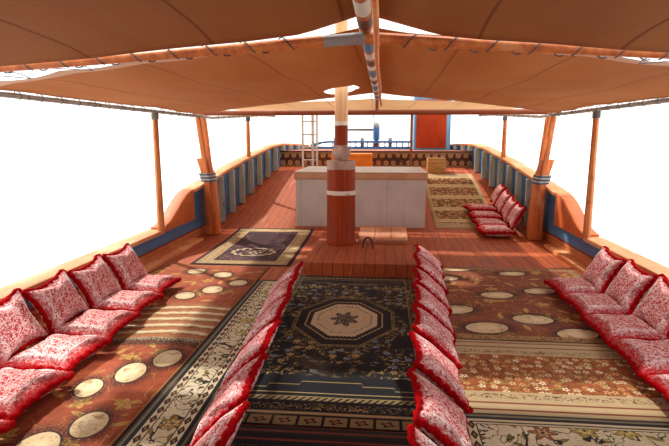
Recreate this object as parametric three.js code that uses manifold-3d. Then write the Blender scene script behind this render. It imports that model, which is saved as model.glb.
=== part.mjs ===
// A wooden passenger dhow of the Gulf coast, rigged in harbour with canvas awnings over its open deck.
// Millimetres. +X to the bow, +Y to port, +Z up. The origin is on the waterline, amidships, on the
// centreline.
import * as THREE from "three";
import { mergeVertices } from "three/addons/utils/BufferGeometryUtils.js";
import Module from "manifold-3d";

const wasm = await Module();
wasm.setup();

// Driving dimensions
const GAP = 0.3; // between pieces that touch
const DECK_Z = 900; // main deck above the waterline
const DECK_THICK = 60;
const PLANK = 100; // thickness of a bulwark
const STERN_X = -10800; // fore face of the transom
const BOW_X = 10700; // aft face of the stem head
const KEEL_TOP = -1350;
const KEEL_BOTTOM = -1600;
const KEEL_HALF = 110;

const MAST = { x: -2270, y: -400 };
const PLATFORM_TOP = DECK_Z + 150;
const POST_TOP = DECK_Z + 1410; // top of the thick lower mast
const NECK_TOP = DECK_Z + 1630;
const MAST_TOP = DECK_Z + 6100;

const RIDGE_Z = DECK_Z + 2470; // underside of the awnings at the ridge
const EAVE_Z = DECK_Z + 2100; // centre of the eave rails
const EAVE_RADIUS = 24;
const RIDGE_Y = 100; // the ridge spar lies a little to port, beside the mast
const SPAR_X = 2200; // the cross spar between the two main awnings
const AFTER_BEAM_X = -3740; // the beam under the ridge's after end

const STERN_PLATFORM_X = -8600;
const STERN_PLATFORM_TOP = DECK_Z + 1380;

const RUDDER_AXIS_X = -11030;
const STERNPOST = { front: STERN_X - 80.6, back: -10950 };
const SHAFT_Z = -800;

// Stations of the hull, from the transom to the stem.
// Columns: x, half breadth at the deck, deck height, bottom of the planking, fullness, hollow.
const STATIONS = [
  [-10800, 2250, 2000, 150, 1.9, 1.0],
  [-9700, 2500, 1950, -300, 1.9, 1.3],
  [-8600, 2680, 1850, -1250, 2.0, 1.5],
  [-7000, 2870, 1550, -1350, 2.1, 1.2],
  [-5500, 2990, 1200, -1350, 2.2, 1.0],
  [-4100, 3070, 980, -1350, 2.3, 0.85],
  [-3000, 3100, 912, -1350, 2.4, 0.8],
  [-2200, 3100, 900, -1350, 2.4, 0.78],
  [3500, 3100, 900, -1350, 2.3, 0.8],
  [5000, 3050, 900, -1300, 2.1, 0.9],
  [6400, 2800, 985, -900, 1.9, 1.0],
  [7600, 2400, 1130, -250, 1.7, 1.0],
  [8600, 1900, 1340, 420, 1.6, 1.0],
  [9500, 1300, 1580, 1050, 1.5, 1.0],
  [10200, 680, 1840, 1480, 1.4, 1.0],
  [10700, 230, 2040, 1800, 1.3, 1.0],
];

// Height of the bulwark under its cap. Columns: x, height above the waterline.
const WAIST_TOP = [
  [-3000, 1260],
  [3500, 1260],
  [5000, 1330],
  [6400, 1500],
  [7600, 1760],
  [8600, 2080],
  [9500, 2420],
  [10700, 2950],
];
const QUARTER_TOP = [
  [-10800, 2360],
  [-9700, 2400],
  [-8600, 2420],
  [-7000, 2250],
  [-5500, 2060],
  [-4100, 1860],
  [-3000, 1720],
];

// Colours of the painted and bare surfaces
const PAINT = {
  timber: 0x9a5a2c,
  orange: 0xc4581e,
  rail: 0xd98a4e,
  blue: 0x3f6f9c,
  terracotta: 0x9c4a32,
  white: 0xd9d6cf,
  antifoul: 0x6e2a22,
  cream: 0xcbb18c,
  canvas: 0xa8683c,
  pipe: 0x8c8a86,
  red: 0xb51f2b,
  carpet: 0x5a3226,
  bronze: 0x9a7b45,
  iron: 0x4c4a48,
  door: 0xb23a12,
};

// A smooth curve through a table's rows that never overshoots them, for one column.
function through(rows, column) {
  const n = rows.length;
  const slope = rows.slice(1).map((row, i) => (row[column] - rows[i][column]) / (row[0] - rows[i][0]));
  const tangent = rows.map((_, i) => {
    if (i === 0) return slope[0];
    if (i === n - 1) return slope[n - 2];
    const [before, after] = [slope[i - 1], slope[i]];
    return before * after <= 0 ? 0 : (2 * before * after) / (before + after);
  });
  return (x) => {
    if (x <= rows[0][0]) return rows[0][column];
    if (x >= rows[n - 1][0]) return rows[n - 1][column];
    const i = rows.findIndex((row) => row[0] > x) - 1;
    const width = rows[i + 1][0] - rows[i][0];
    const t = (x - rows[i][0]) / width;
    const a = rows[i][column];
    const b = rows[i + 1][column];
    return (
      a * (1 + 2 * t) * (1 - t) ** 2 +
      tangent[i] * width * t * (1 - t) ** 2 +
      b * t ** 2 * (3 - 2 * t) -
      tangent[i + 1] * width * t ** 2 * (1 - t)
    );
  };
}

// Every long piece bends at these places only, so that neighbours keep their gap between them.
const BENDS = [];
STATIONS.slice(1).forEach((row, i) => {
  const from = STATIONS[i][0];
  const parts = from === -2200 ? 1 : Math.ceil((row[0] - from) / 800);
  for (let k = 0; k < parts; k++) BENDS.push(from + ((row[0] - from) * k) / parts);
});
BENDS.push(BOW_X);

// The same curve, straight between two neighbouring bends.
function bent(smooth) {
  return (x) => {
    const i = Math.min(Math.max(BENDS.findIndex((bend) => bend >= x), 1), BENDS.length - 1);
    const t = (x - BENDS[i - 1]) / (BENDS[i] - BENDS[i - 1]);
    return smooth(BENDS[i - 1]) * (1 - t) + smooth(BENDS[i]) * t;
  };
}

const halfAt = bent(through(STATIONS, 1));
const deckAt = bent(through(STATIONS, 2));
const bottomAt = bent(through(STATIONS, 3));
const waistTopAt = bent(through(WAIST_TOP, 1));
const quarterTopAt = bent(through(QUARTER_TOP, 1));
const bendsWithin = (from, to) => [from, ...BENDS.filter((x) => x > from + 1 && x < to - 1), to];

// Solids
const box = (x0, x1, y0, y1, z0, z1) =>
  new THREE.BoxGeometry(x1 - x0, y1 - y0, z1 - z0).translate((x0 + x1) / 2, (y0 + y1) / 2, (z0 + z1) / 2);

// A round bar from one point to another, with a radius at each end.
function bar(from, to, radius, endRadius = radius, sides = 12) {
  const a = new THREE.Vector3(...from);
  const b = new THREE.Vector3(...to);
  const turn = new THREE.Quaternion().setFromUnitVectors(
    new THREE.Vector3(0, 1, 0),
    b.clone().sub(a).normalize(),
  );
  return new THREE.CylinderGeometry(endRadius, radius, a.distanceTo(b), sides)
    .applyQuaternion(turn)
    .translate(...a.add(b).multiplyScalar(0.5).toArray());
}

// A skin over rings that each hold the same number of points, closed by a flat face at both ends.
function loft(rings) {
  const count = rings[0].length;
  const index = [];
  rings.slice(1).forEach((_, r) => {
    for (let k = 0; k < count; k++) {
      const next = (k + 1) % count;
      const [a, b, c, d] = [r * count + k, r * count + next, (r + 1) * count + next, (r + 1) * count + k];
      index.push(a, b, c, a, c, d);
    }
  });
  const face = (ring) =>
    THREE.ShapeUtils.triangulateShape(ring.map(([, y, z]) => new THREE.Vector2(y, z)), []);
  face(rings[0]).forEach(([a, b, c]) => index.push(a, c, b));
  const last = (rings.length - 1) * count;
  face(rings[rings.length - 1]).forEach(([a, b, c]) => index.push(last + a, last + b, last + c));
  return new THREE.BufferGeometry()
    .setAttribute("position", new THREE.Float32BufferAttribute(rings.flat(2), 3))
    .setIndex(index);
}

// A long piece with a four-sided section. section(x) gives [inner y, outer y, bottom z, top z].
function strake(from, to, section) {
  return loft(
    bendsWithin(from, to).map((x) => {
      const [inner, outer, bottom, top] = section(x);
      return [
        [x, inner, bottom],
        [x, outer, bottom],
        [x, outer, top],
        [x, inner, top],
      ];
    }),
  );
}

// An outline of [x, z] points, cut from a plank that lies between two y planes.
function sidePlate(outline, y0, y1) {
  const shape = new THREE.Shape(outline.map(([x, z]) => new THREE.Vector2(x, z)));
  return new THREE.ExtrudeGeometry(shape, { depth: y1 - y0, bevelEnabled: false })
    .rotateX(Math.PI / 2)
    .translate(0, y1, 0);
}

// An outline of [y, z] points, cut from a plank that lies between two x planes.
function crossPlate(outline, x0, x1) {
  const shape = new THREE.Shape(outline.map(([y, z]) => new THREE.Vector2(y, z)));
  return new THREE.ExtrudeGeometry(shape, { depth: x1 - x0, bevelEnabled: false })
    .rotateX(Math.PI / 2)
    .rotateZ(Math.PI / 2)
    .translate(x0, 0, 0);
}

function solidOf(geometry) {
  const bare = geometry.clone().deleteAttribute("normal").deleteAttribute("uv");
  const merged = mergeVertices(bare, 1e-3);
  return new wasm.Manifold(
    new wasm.Mesh({
      numProp: 3,
      vertProperties: new Float32Array(merged.attributes.position.array),
      triVerts: new Uint32Array(merged.index.array),
    }),
  );
}

function geometryOf(solid) {
  const mesh = solid.getMesh();
  const points = [];
  for (let i = 0; i < mesh.numVert; i++)
    points.push(...mesh.vertProperties.subarray(i * mesh.numProp, i * mesh.numProp + 3));
  return new THREE.BufferGeometry()
    .setAttribute("position", new THREE.Float32BufferAttribute(points, 3))
    .setIndex([...mesh.triVerts]);
}

const join = (...pieces) => geometryOf(pieces.map(solidOf).reduce((a, b) => a.add(b)));
const cut = (piece, ...tools) =>
  geometryOf(tools.map(solidOf).reduce((a, b) => a.subtract(b), solidOf(piece)));

// The starboard twin of a port piece.
function mirrored(geometry) {
  const twin = geometry.clone().scale(1, -1, 1);
  const order = twin.index.array;
  for (let i = 0; i < order.length; i += 3) [order[i + 1], order[i + 2]] = [order[i + 2], order[i + 1]];
  return twin;
}

const boat = new THREE.Group();

function piece(name, geometry, color, roughness = 0.7, metalness = 0) {
  const mesh = new THREE.Mesh(geometry, new THREE.MeshStandardMaterial({ color, roughness, metalness }));
  mesh.name = name;
  boat.add(mesh);
  return mesh;
}

function pair(name, geometry, color, roughness, metalness) {
  const bare = geometry.deleteAttribute("normal").deleteAttribute("uv");
  const indexed = geometry.index ? geometry : mergeVertices(bare);
  piece(name + "_port", indexed, color, roughness, metalness);
  piece(name + "_starboard", mirrored(indexed), color, roughness, metalness);
}

// Hull, from the planking's lower edge up to the deck beams
const LEVELS = [0, 0.05, 0.12, 0.22, 0.35, 0.5, 0.67, 0.84, 1];
const hullRing = (x) => {
  const bottom = bottomAt(x);
  const top = deckAt(x) - DECK_THICK;
  const full = through(STATIONS, 4)(x);
  const hollow = through(STATIONS, 5)(x);
  const side = LEVELS.map((level) => {
    const share = (1 - (1 - level) ** full) ** hollow;
    return [x, KEEL_HALF + (halfAt(x) - KEEL_HALF) * share, bottom + (top - bottom) * level];
  });
  return [...side, ...side.map(([, y, z]) => [x, -y, z]).reverse()];
};
// The boss at the after end of the deadwood, which the propeller shaft runs in
const BOSS = { front: -8400, back: -9900, radius: 95 };
const boss = bar([BOSS.front, 0, SHAFT_Z], [BOSS.back, 0, SHAFT_Z], BOSS.radius, BOSS.radius, 16);
piece("hull", join(loft(BENDS.map(hullRing)), boss), PAINT.timber);

// Backbone: the keel, with its heel under the rudder, the raking stem and the sternpost
const HEEL_X = -11250;
const FOREFOOT_X = 5000;
const keelLine = BENDS.filter((x) => x >= -8600 && x <= FOREFOOT_X).map((x) => [x, bottomAt(x) - GAP]);
const keelOutline = [
  [HEEL_X, KEEL_BOTTOM],
  [FOREFOOT_X, KEEL_BOTTOM],
  ...keelLine.reverse(),
  [-8640, KEEL_TOP - GAP],
  [HEEL_X, KEEL_TOP - GAP],
];
const sternpostOutline = [
  [STERNPOST.back, KEEL_TOP - 50],
  [STERNPOST.back + 180, KEEL_TOP - 50],
  [STERNPOST.front + 40, 60],
  [STERNPOST.front, 100],
  [STERNPOST.front, 2450],
  [STERNPOST.back, 2450],
];
piece(
  "keel_and_sternpost",
  join(sidePlate(keelOutline, -KEEL_HALF, KEEL_HALF), sidePlate(sternpostOutline, -90, 90)),
  PAINT.antifoul,
);
const stemLine = BENDS.filter((x) => x > FOREFOOT_X).map((x) => [x, bottomAt(x) - GAP]);
piece(
  "stem",
  sidePlate(
    [
      [FOREFOOT_X + GAP, KEEL_BOTTOM],
      [5500, -1560],
      [6700, -1130],
      [11500, 2300],
      [12150, 3150],
      [12150, 3420],
      [11800, 3500],
      [BOW_X + GAP, 3080],
      [BOW_X + GAP, bottomAt(BOW_X) - GAP],
      ...stemLine.reverse(),
      [FOREFOOT_X + GAP, bottomAt(FOREFOOT_X) - GAP],
    ],
    -KEEL_HALF,
    KEEL_HALF,
  ),
  PAINT.timber,
);

// Decks
const inside = (x) => halfAt(x) - PLANK - GAP;
const deckSection = (x) => [-inside(x), inside(x), deckAt(x) - DECK_THICK + GAP, deckAt(x)];
piece("deck", strake(STERN_X, BOW_X, deckSection), PAINT.terracotta);

const FOREDECK_X = 7600;
const foredeckAt = (x) => 1560 + ((x - FOREDECK_X) / (BOW_X - FOREDECK_X)) * 620;
piece(
  "foredeck",
  strake(FOREDECK_X, BOW_X, (x) => [-inside(x), inside(x), deckAt(x) + GAP, foredeckAt(x)]),
  PAINT.timber,
);
piece(
  "stern_platform",
  strake(STERN_X, STERN_PLATFORM_X, (x) => [-inside(x), inside(x), deckAt(x) + GAP, STERN_PLATFORM_TOP]),
  PAINT.blue,
);

// Bulwarks: low along the waist, raised along the quarters, with a carved scroll where they meet
const SCROLL = { aft: -3000, fore: -1900 };
const wall = (topAt) => (x) => [halfAt(x) - PLANK, halfAt(x), deckAt(x) - DECK_THICK + GAP, topAt(x)];
const CAP = { inner: 170, outer: 80, thick: 60 };
const cap = (topAt) => (x) => [
  halfAt(x) - CAP.inner,
  halfAt(x) + CAP.outer,
  topAt(x) + GAP,
  topAt(x) + CAP.thick,
];
pair("waist_bulwark", strake(SCROLL.aft + GAP, BOW_X, wall(waistTopAt)), PAINT.blue);
pair("quarter_bulwark", strake(STERN_X, SCROLL.aft, wall(quarterTopAt)), PAINT.blue);
pair("waist_rail", strake(SCROLL.fore + 211, BOW_X, cap(waistTopAt)), PAINT.rail);
pair("quarter_rail", strake(STERN_X, SCROLL.aft - GAP, cap(quarterTopAt)), PAINT.rail);

const scrollFoot = waistTopAt(0) + GAP;
const scrollHead = quarterTopAt(SCROLL.aft) + CAP.thick;
const scrollOutline = [[SCROLL.aft + GAP, scrollFoot], [SCROLL.fore + 150, scrollFoot]];
for (let k = 0; k <= 12; k++) {
  const t = k / 12;
  const drop = (1 - Math.cos(Math.PI * t)) / 2;
  scrollOutline.push([
    SCROLL.fore + 210 - t * (SCROLL.fore + 210 - SCROLL.aft - GAP),
    scrollFoot + 90 + drop * (scrollHead - scrollFoot - 90),
  ]);
}
pair("scroll", sidePlate(scrollOutline, halfAt(0) - 150, halfAt(0) + 60), PAINT.orange);

// Rubbing strakes along the outside, just under the deck's edge
const RUB = { low: -150, high: 60, thick: 90 };
pair(
  "rubbing_strake",
  strake(STERN_X, 10200, (x) => [
    halfAt(x) + GAP,
    halfAt(x) + RUB.thick,
    deckAt(x) + RUB.low,
    deckAt(x) + RUB.high,
  ]),
  PAINT.rail,
);

// Stern: the transom board behind the hull, and the rail with its balusters on top
const sternRing = hullRing(STERN_X).slice(0, LEVELS.length).map(([, y, z]) => [y, z]);
const sternTop = QUARTER_TOP[0][1];
const transomHalf = [...sternRing, [halfAt(STERN_X), sternTop - GAP]];
piece(
  "transom",
  crossPlate(
    [...transomHalf, ...transomHalf.map(([y, z]) => [-y, z]).reverse()],
    STERN_X - 80,
    STERN_X - GAP,
  ),
  PAINT.blue,
);
const TAFFRAIL = { straight: 1450, reach: 2050, top: sternTop + 170, thick: 60, baluster: 22 };
const railUnder = TAFFRAIL.top - TAFFRAIL.thick;
const balusters = [];
for (let y = -1350; y <= 1350; y += 180)
  balusters.push(
    bar([STERN_X - 40, y, sternTop + GAP], [STERN_X - 40, y, railUnder + 10], TAFFRAIL.baluster, 22, 8),
  );
const POST_HALF = 55;
[-1260, -430, 430, 1260].forEach((y) =>
  balusters.push(
    box(
      STERN_X - 40 - POST_HALF,
      STERN_X - 40 + POST_HALF,
      y - POST_HALF,
      y + POST_HALF,
      sternTop + GAP,
      TAFFRAIL.top + 90,
    ),
  ),
);
const railOutline = [
  [-TAFFRAIL.straight, TAFFRAIL.top],
  [-TAFFRAIL.straight - 300, TAFFRAIL.top - 30],
  [-TAFFRAIL.reach, sternTop + 60],
  [-TAFFRAIL.reach, sternTop + GAP],
  [-TAFFRAIL.reach + 150, sternTop + GAP],
  [-TAFFRAIL.straight - 240, railUnder - 30],
  [-TAFFRAIL.straight, railUnder],
];
piece(
  "taffrail",
  join(
    crossPlate(
      [...railOutline, ...railOutline.map(([y, z]) => [-y, z]).reverse()],
      STERN_X - 90,
      STERN_X + 70,
    ),
    ...balusters,
  ),
  PAINT.blue,
);

// Frame posts inside the raised bulwark: a heavy foot timber that leans out over the cap, with two slender
// timbers bound to it that carry the eave rails
const FOOT_TIMBER = { aft: -3580, fore: -3360, top: 2280 };
const postFoot = deckAt(FOOT_TIMBER.aft) + GAP;
const postHead = EAVE_Z - EAVE_RADIUS - GAP;
const footTimber = [
  [2690, postFoot],
  [2890, postFoot],
  [2905, 1870],
  [3020, FOOT_TIMBER.top],
  [2840, FOOT_TIMBER.top],
  [2740, 1870],
];
const slenderTimber = (foot) => [
  [2750, foot],
  [2825, foot],
  [2985, postHead],
  [2915, postHead],
];
pair(
  "frame_post",
  join(
    crossPlate(footTimber, FOOT_TIMBER.aft, FOOT_TIMBER.fore),
    crossPlate(slenderTimber(1200), FOOT_TIMBER.aft - 80, FOOT_TIMBER.aft + 10),
    crossPlate(slenderTimber(1500), FOOT_TIMBER.fore - 10, FOOT_TIMBER.fore + 60),
  ),
  PAINT.orange,
);

// Mast, with the low platform it stands on
const PLATFORM = { aft: -3000, fore: -980, starboard: -780, port: 660 };
piece(
  "mast_platform",
  strake(PLATFORM.aft, PLATFORM.fore, (x) => [
    PLATFORM.starboard,
    PLATFORM.port,
    deckAt(x) + GAP,
    PLATFORM_TOP,
  ]),
  PAINT.terracotta,
);
const turned = (profile, sides) =>
  new THREE.LatheGeometry(profile.map(([r, z]) => new THREE.Vector2(r, z)), sides)
    .rotateX(Math.PI / 2)
    .translate(MAST.x, MAST.y, 0);
piece(
  "mast_post",
  turned(
    [
      [0, PLATFORM_TOP + GAP],
      [235, PLATFORM_TOP + GAP],
      [215, PLATFORM_TOP + 60],
      [215, POST_TOP],
      [100, POST_TOP],
      [100, POST_TOP + 35],
      [130, POST_TOP + 80],
      [130, NECK_TOP - 70],
      [100, NECK_TOP - 25],
      [100, NECK_TOP],
      [0, NECK_TOP],
    ],
    24,
  ),
  PAINT.orange,
);
piece(
  "mast",
  turned(
    [
      [0, NECK_TOP + GAP],
      [98, NECK_TOP + GAP],
      [98, RIDGE_Z],
      [70, MAST_TOP - 200],
      [95, MAST_TOP - 200],
      [95, MAST_TOP - 60],
      [0, MAST_TOP],
    ],
    16,
  ),
  PAINT.cream,
);
const HATCH = { hinge: PLATFORM.aft + 60, fore: -2260, starboard: -140, port: 620, thick: 50, high: 160 };
piece(
  "hatch_lid",
  sidePlate(
    [
      [HATCH.hinge, PLATFORM_TOP + GAP],
      [HATCH.fore, PLATFORM_TOP + GAP],
      [HATCH.fore, PLATFORM_TOP + HATCH.thick],
      [HATCH.hinge, PLATFORM_TOP + HATCH.high],
    ],
    HATCH.starboard,
    HATCH.port,
  ),
  PAINT.terracotta,
);

// Stays, above the awnings
piece(
  "forestay",
  bar([MAST.x + 97.6, MAST.y, MAST_TOP - 150], [11900, 0, 3487], 9, 9, 8),
  PAINT.iron,
);
piece(
  "backstay",
  bar([MAST.x - 99.4, MAST.y, MAST_TOP - 150], [STERN_X, 0, TAFFRAIL.top + 8.6], 9, 9, 8),
  PAINT.iron,
);

// Engine casing: four walls on the sloping deck around the engine, with a hinged lid
const CASING = {
  aft: -5950,
  fore: -4100,
  starboard: -1400,
  port: 1010,
  wall: 40,
  lidZ: DECK_Z + 970,
  top: DECK_Z + 1110,
};
const onDeck = (from, to, top) => [
  ...bendsWithin(from, to).map((x) => [x, deckAt(x) + GAP]),
  [to, top],
  [from, top],
];
piece(
  "engine_casing",
  cut(
    sidePlate(onDeck(CASING.aft, CASING.fore, CASING.lidZ - GAP), CASING.starboard, CASING.port),
    box(
      CASING.aft + CASING.wall,
      CASING.fore - CASING.wall,
      CASING.starboard + CASING.wall,
      CASING.port - CASING.wall,
      0,
      3000,
    ),
  ),
  PAINT.white,
);
piece(
  "engine_lid",
  cut(
    box(CASING.aft - 25, CASING.fore + 25, CASING.starboard - 25, CASING.port + 25, CASING.lidZ, CASING.top),
    box(CASING.aft + 15, CASING.fore - 15, CASING.starboard + 15, CASING.port - 15, 0, CASING.top - 40),
  ),
  PAINT.white,
);
piece("engine", sidePlate(onDeck(-5700, -4400, 1780), -400, 400), PAINT.iron, 0.6, 0.5);

// Awnings: canvas over a ridge spar, laced down to the eave rails
const CLOTH = 12;
const eaveAt = (x) => Math.min(halfAt(x), 3060) - 110;
// Height of a canopy's underside at a share of its width, 0 at the ridge and 1 at the edge.
const sagged = (ridge, edge, share) => ridge - (ridge - edge) * (0.7 * share + 0.3 * share ** 2);
const canopy = (from, to, ridge, edge) => {
  const rings = bendsWithin(from, to).map((x) => {
    const under = [-1, -0.5, 0, 0.5, 1].map((share) => {
      const reach = eaveAt(x) + 60 - Math.sign(share) * RIDGE_Y;
      return [x, RIDGE_Y + share * reach, sagged(ridge, edge, Math.abs(share))];
    });
    return [...under, ...under.map(([, y, z]) => [x, y, z + CLOTH]).reverse()];
  });
  return loft(rings);
};
const CANVAS_EDGE = EAVE_Z + EAVE_RADIUS + 46;
const FORE_BEAM_X = 7300;
piece("awning_fore", canopy(SPAR_X + 70, FORE_BEAM_X + 150, RIDGE_Z, CANVAS_EDGE), PAINT.canvas, 0.9);
piece(
  "awning_middle",
  cut(
    canopy(AFTER_BEAM_X + 60, SPAR_X - 400, RIDGE_Z, CANVAS_EDGE),
    box(MAST.x - 480, MAST.x + 420, MAST.y - 280, MAST.y + 280, 2800, 4000),
  ),
  PAINT.canvas,
  0.9,
);
const AFT_CANOPY = { from: -8300, to: AFTER_BEAM_X - 100, ridge: RIDGE_Z - 80, edge: CANVAS_EDGE + 145 };
piece(
  "awning_aft",
  canopy(AFT_CANOPY.from, AFT_CANOPY.to, AFT_CANOPY.ridge, AFT_CANOPY.edge),
  PAINT.canvas,
  0.9,
);

// Ridge spar, with the cross spars under it that rest on the eave rails
const RIDGE = { aft: AFTER_BEAM_X - 40, fore: 7700, radius: 45 };
const ridgeZ = RIDGE_Z - RIDGE.radius - GAP;
piece(
  "ridge_spar",
  bar([RIDGE.aft, RIDGE_Y, ridgeZ], [RIDGE.fore, RIDGE_Y, ridgeZ], RIDGE.radius),
  PAINT.orange,
);
const SPAR = { middle: 37, tip: 18, overhang: 350 };
const sparZ = ridgeZ - RIDGE.radius - SPAR.middle - GAP;
const crossSpar = (x) => {
  const rest = EAVE_Z + EAVE_RADIUS + SPAR.tip + 6;
  const reach = eaveAt(x) + SPAR.overhang;
  const tip = rest - ((sparZ - rest) * SPAR.overhang) / eaveAt(x);
  return join(
    bar([x, RIDGE_Y, sparZ], [x, reach, tip], SPAR.middle, SPAR.tip),
    bar([x, RIDGE_Y, sparZ], [x, -reach, tip], SPAR.middle, SPAR.tip),
  );
};
piece("cross_spar", crossSpar(SPAR_X), PAINT.orange);
piece(
  "fore_beam",
  join(
    crossSpar(FORE_BEAM_X),
    bar([FORE_BEAM_X, RIDGE_Y, deckAt(FORE_BEAM_X + 45) + GAP], [FORE_BEAM_X, RIDGE_Y, sparZ], 45),
  ),
  PAINT.orange,
);
const AFTER_BEAM = { radius: 45, z: EAVE_Z + EAVE_RADIUS + 45 + 0.6 };
piece(
  "after_beam",
  join(
    bar(
      [AFTER_BEAM_X, -3180, AFTER_BEAM.z],
      [AFTER_BEAM_X, 3180, AFTER_BEAM.z],
      AFTER_BEAM.radius,
      AFTER_BEAM.radius,
      16,
    ),
    bar([AFTER_BEAM_X, RIDGE_Y, AFTER_BEAM.z], [AFTER_BEAM_X, RIDGE_Y, ridgeZ - RIDGE.radius - GAP], 35),
  ),
  PAINT.orange,
);

// Eave rails of pipe on wooden stanchions, which stand on the bulwarks' caps
const STANCHIONS = [FORE_BEAM_X, 3300, -1620, -6200];
const RISE = { from: -4100, to: -7450, height: 180 };
const railZ = (x) =>
  EAVE_Z + RISE.height * Math.min(1, Math.max(0, (RISE.from - x) / (RISE.from - RISE.to)));
const railRings = bendsWithin(-8200, 7600).map((x) =>
  [0, 1, 2, 3, 4, 5, 6, 7].map((k) => [
    x,
    eaveAt(x) + EAVE_RADIUS * Math.cos((k * Math.PI) / 4),
    railZ(x) + EAVE_RADIUS * Math.sin((k * Math.PI) / 4),
  ]),
);
const rail = [loft(railRings)];
const POLE = { foot: 52, head: 36 };
const capTopAt = (x) => (x > SCROLL.aft ? waistTopAt(x) : quarterTopAt(x)) + CAP.thick;
STANCHIONS.forEach((x) => {
  const foot = Math.max(capTopAt(x - POLE.foot), capTopAt(x + POLE.foot)) + GAP;
  rail.push(bar([x, eaveAt(x), foot], [x, eaveAt(x), railZ(x)], POLE.foot, POLE.head, 12));
});
pair("eave_rail", join(...rail), PAINT.pipe, 0.5, 0.4);

// Stern awning frame and the ladder that leans on it
const FRAME_X = -6900;
const FRAME = { starboard: -1500, port: 920, radius: 30 };
const frameShare = (RIDGE_Y - FRAME.starboard) / (eaveAt(FRAME_X) + 60 + RIDGE_Y);
const FRAME_Z = sagged(AFT_CANOPY.ridge, AFT_CANOPY.edge, frameShare) - FRAME.radius - 1;
piece(
  "stern_frame",
  join(
    bar([FRAME_X, FRAME.starboard, FRAME_Z], [FRAME_X, FRAME.port, FRAME_Z], FRAME.radius),
    ...[FRAME.starboard + 50, FRAME.port - 50].map((y) =>
      bar([FRAME_X, y, deckAt(FRAME_X - 30) + GAP], [FRAME_X, y, FRAME_Z], FRAME.radius),
    ),
  ),
  PAINT.white,
);
const LADDER = { x: FRAME_X + FRAME.radius + 30 + GAP, low: -1680, high: -1340, top: FRAME_Z + 20 };
const rungs = [];
for (let z = deckAt(LADDER.x) + 300; z < LADDER.top; z += 300)
  rungs.push(bar([LADDER.x, LADDER.low, z], [LADDER.x, LADDER.high, z], 16, 16, 8));
piece(
  "ladder",
  join(
    ...[LADDER.low, LADDER.high].map((y) =>
      box(LADDER.x - 30, LADDER.x + 30, y - 20, y + 20, deckAt(LADDER.x - 30) + GAP, LADDER.top),
    ),
    ...rungs,
  ),
  PAINT.white,
);

// Cabin on the port quarter, with its door in the fore wall
const CABIN = {
  aft: -10650,
  fore: -9600,
  starboard: 1080,
  port: 2100,
  wall: 40,
  top: STERN_PLATFORM_TOP + 1500,
};
const DOOR = { low: 80, high: 1380, starboard: 1160, port: 1960, thick: 32 };
piece(
  "cabin",
  cut(
    box(CABIN.aft, CABIN.fore, CABIN.starboard, CABIN.port, STERN_PLATFORM_TOP + GAP, CABIN.top),
    box(
      CABIN.aft + CABIN.wall,
      CABIN.fore - CABIN.wall,
      CABIN.starboard + CABIN.wall,
      CABIN.port - CABIN.wall,
      STERN_PLATFORM_TOP + 30,
      CABIN.top - 40,
    ),
    box(
      CABIN.fore - CABIN.wall - 10,
      CABIN.fore + 10,
      DOOR.starboard,
      DOOR.port,
      STERN_PLATFORM_TOP + DOOR.low,
      STERN_PLATFORM_TOP + DOOR.high,
    ),
  ),
  PAINT.blue,
);
piece(
  "cabin_door",
  box(
    CABIN.fore + GAP,
    CABIN.fore + DOOR.thick,
    DOOR.starboard - 20,
    DOOR.port + 20,
    STERN_PLATFORM_TOP + DOOR.low - 20,
    STERN_PLATFORM_TOP + DOOR.high + 20,
  ),
  PAINT.door,
);

// Chests on the after deck
piece("orange_chest", sidePlate(onDeck(-8300, -7700, DECK_Z + 1330), -1080, -60), PAINT.orange);
piece("wooden_box", sidePlate(onDeck(-8300, -7900, DECK_Z + 1220), 1350, 1800), PAINT.rail);

// Rudder, hung outboard on the sternpost, with the yoke arm that steers it
const RUDDER = { back: -11950, top: 1150, bottom: KEEL_TOP + 40, head: DECK_Z + 2200, arm: DECK_Z + 1970 };
piece(
  "rudder",
  join(
    sidePlate(
      [
        [RUDDER_AXIS_X, RUDDER.bottom],
        [RUDDER.back, RUDDER.bottom + 60],
        [RUDDER.back, 300],
        [RUDDER_AXIS_X - 260, RUDDER.top],
        [RUDDER_AXIS_X, RUDDER.top],
      ],
      -40,
      40,
    ),
    bar([RUDDER_AXIS_X, 0, KEEL_TOP], [RUDDER_AXIS_X, 0, 2600], 70, 70, 16),
    bar([RUDDER_AXIS_X, 0, 2560], [RUDDER_AXIS_X, 0, RUDDER.head - 90], 104, 100, 16),
    bar([RUDDER_AXIS_X, 0, RUDDER.head - 90], [RUDDER_AXIS_X, 0, RUDDER.head], 100, 45, 16),
    bar([RUDDER_AXIS_X, 0, RUDDER.arm], [RUDDER_AXIS_X, -950, RUDDER.arm], 35, 28),
  ),
  PAINT.blue,
);

// Propeller with its shaft
const BLADES = 3;
const blades = [];
for (let k = 0; k < BLADES; k++)
  blades.push(
    new THREE.CylinderGeometry(150, 150, 24, 16)
      .rotateZ(Math.PI / 2)
      .scale(1, 1, 1.25)
      .translate(0, 0, 230)
      .applyMatrix4(new THREE.Matrix4().makeRotationZ(0.55))
      .rotateX((k * 2 * Math.PI) / BLADES)
      .translate(-10250, 0, SHAFT_Z),
  );
piece(
  "propeller",
  join(
    bar([BOSS.back - GAP, 0, SHAFT_Z], [-10150, 0, SHAFT_Z], 40, 40, 16),
    bar([-10150, 0, SHAFT_Z], [-10350, 0, SHAFT_Z], 85, 60, 16),
    ...blades,
  ),
  PAINT.bronze,
  0.35,
  0.9,
);

// Carpets on the main deck
const PILE = 10;
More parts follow.
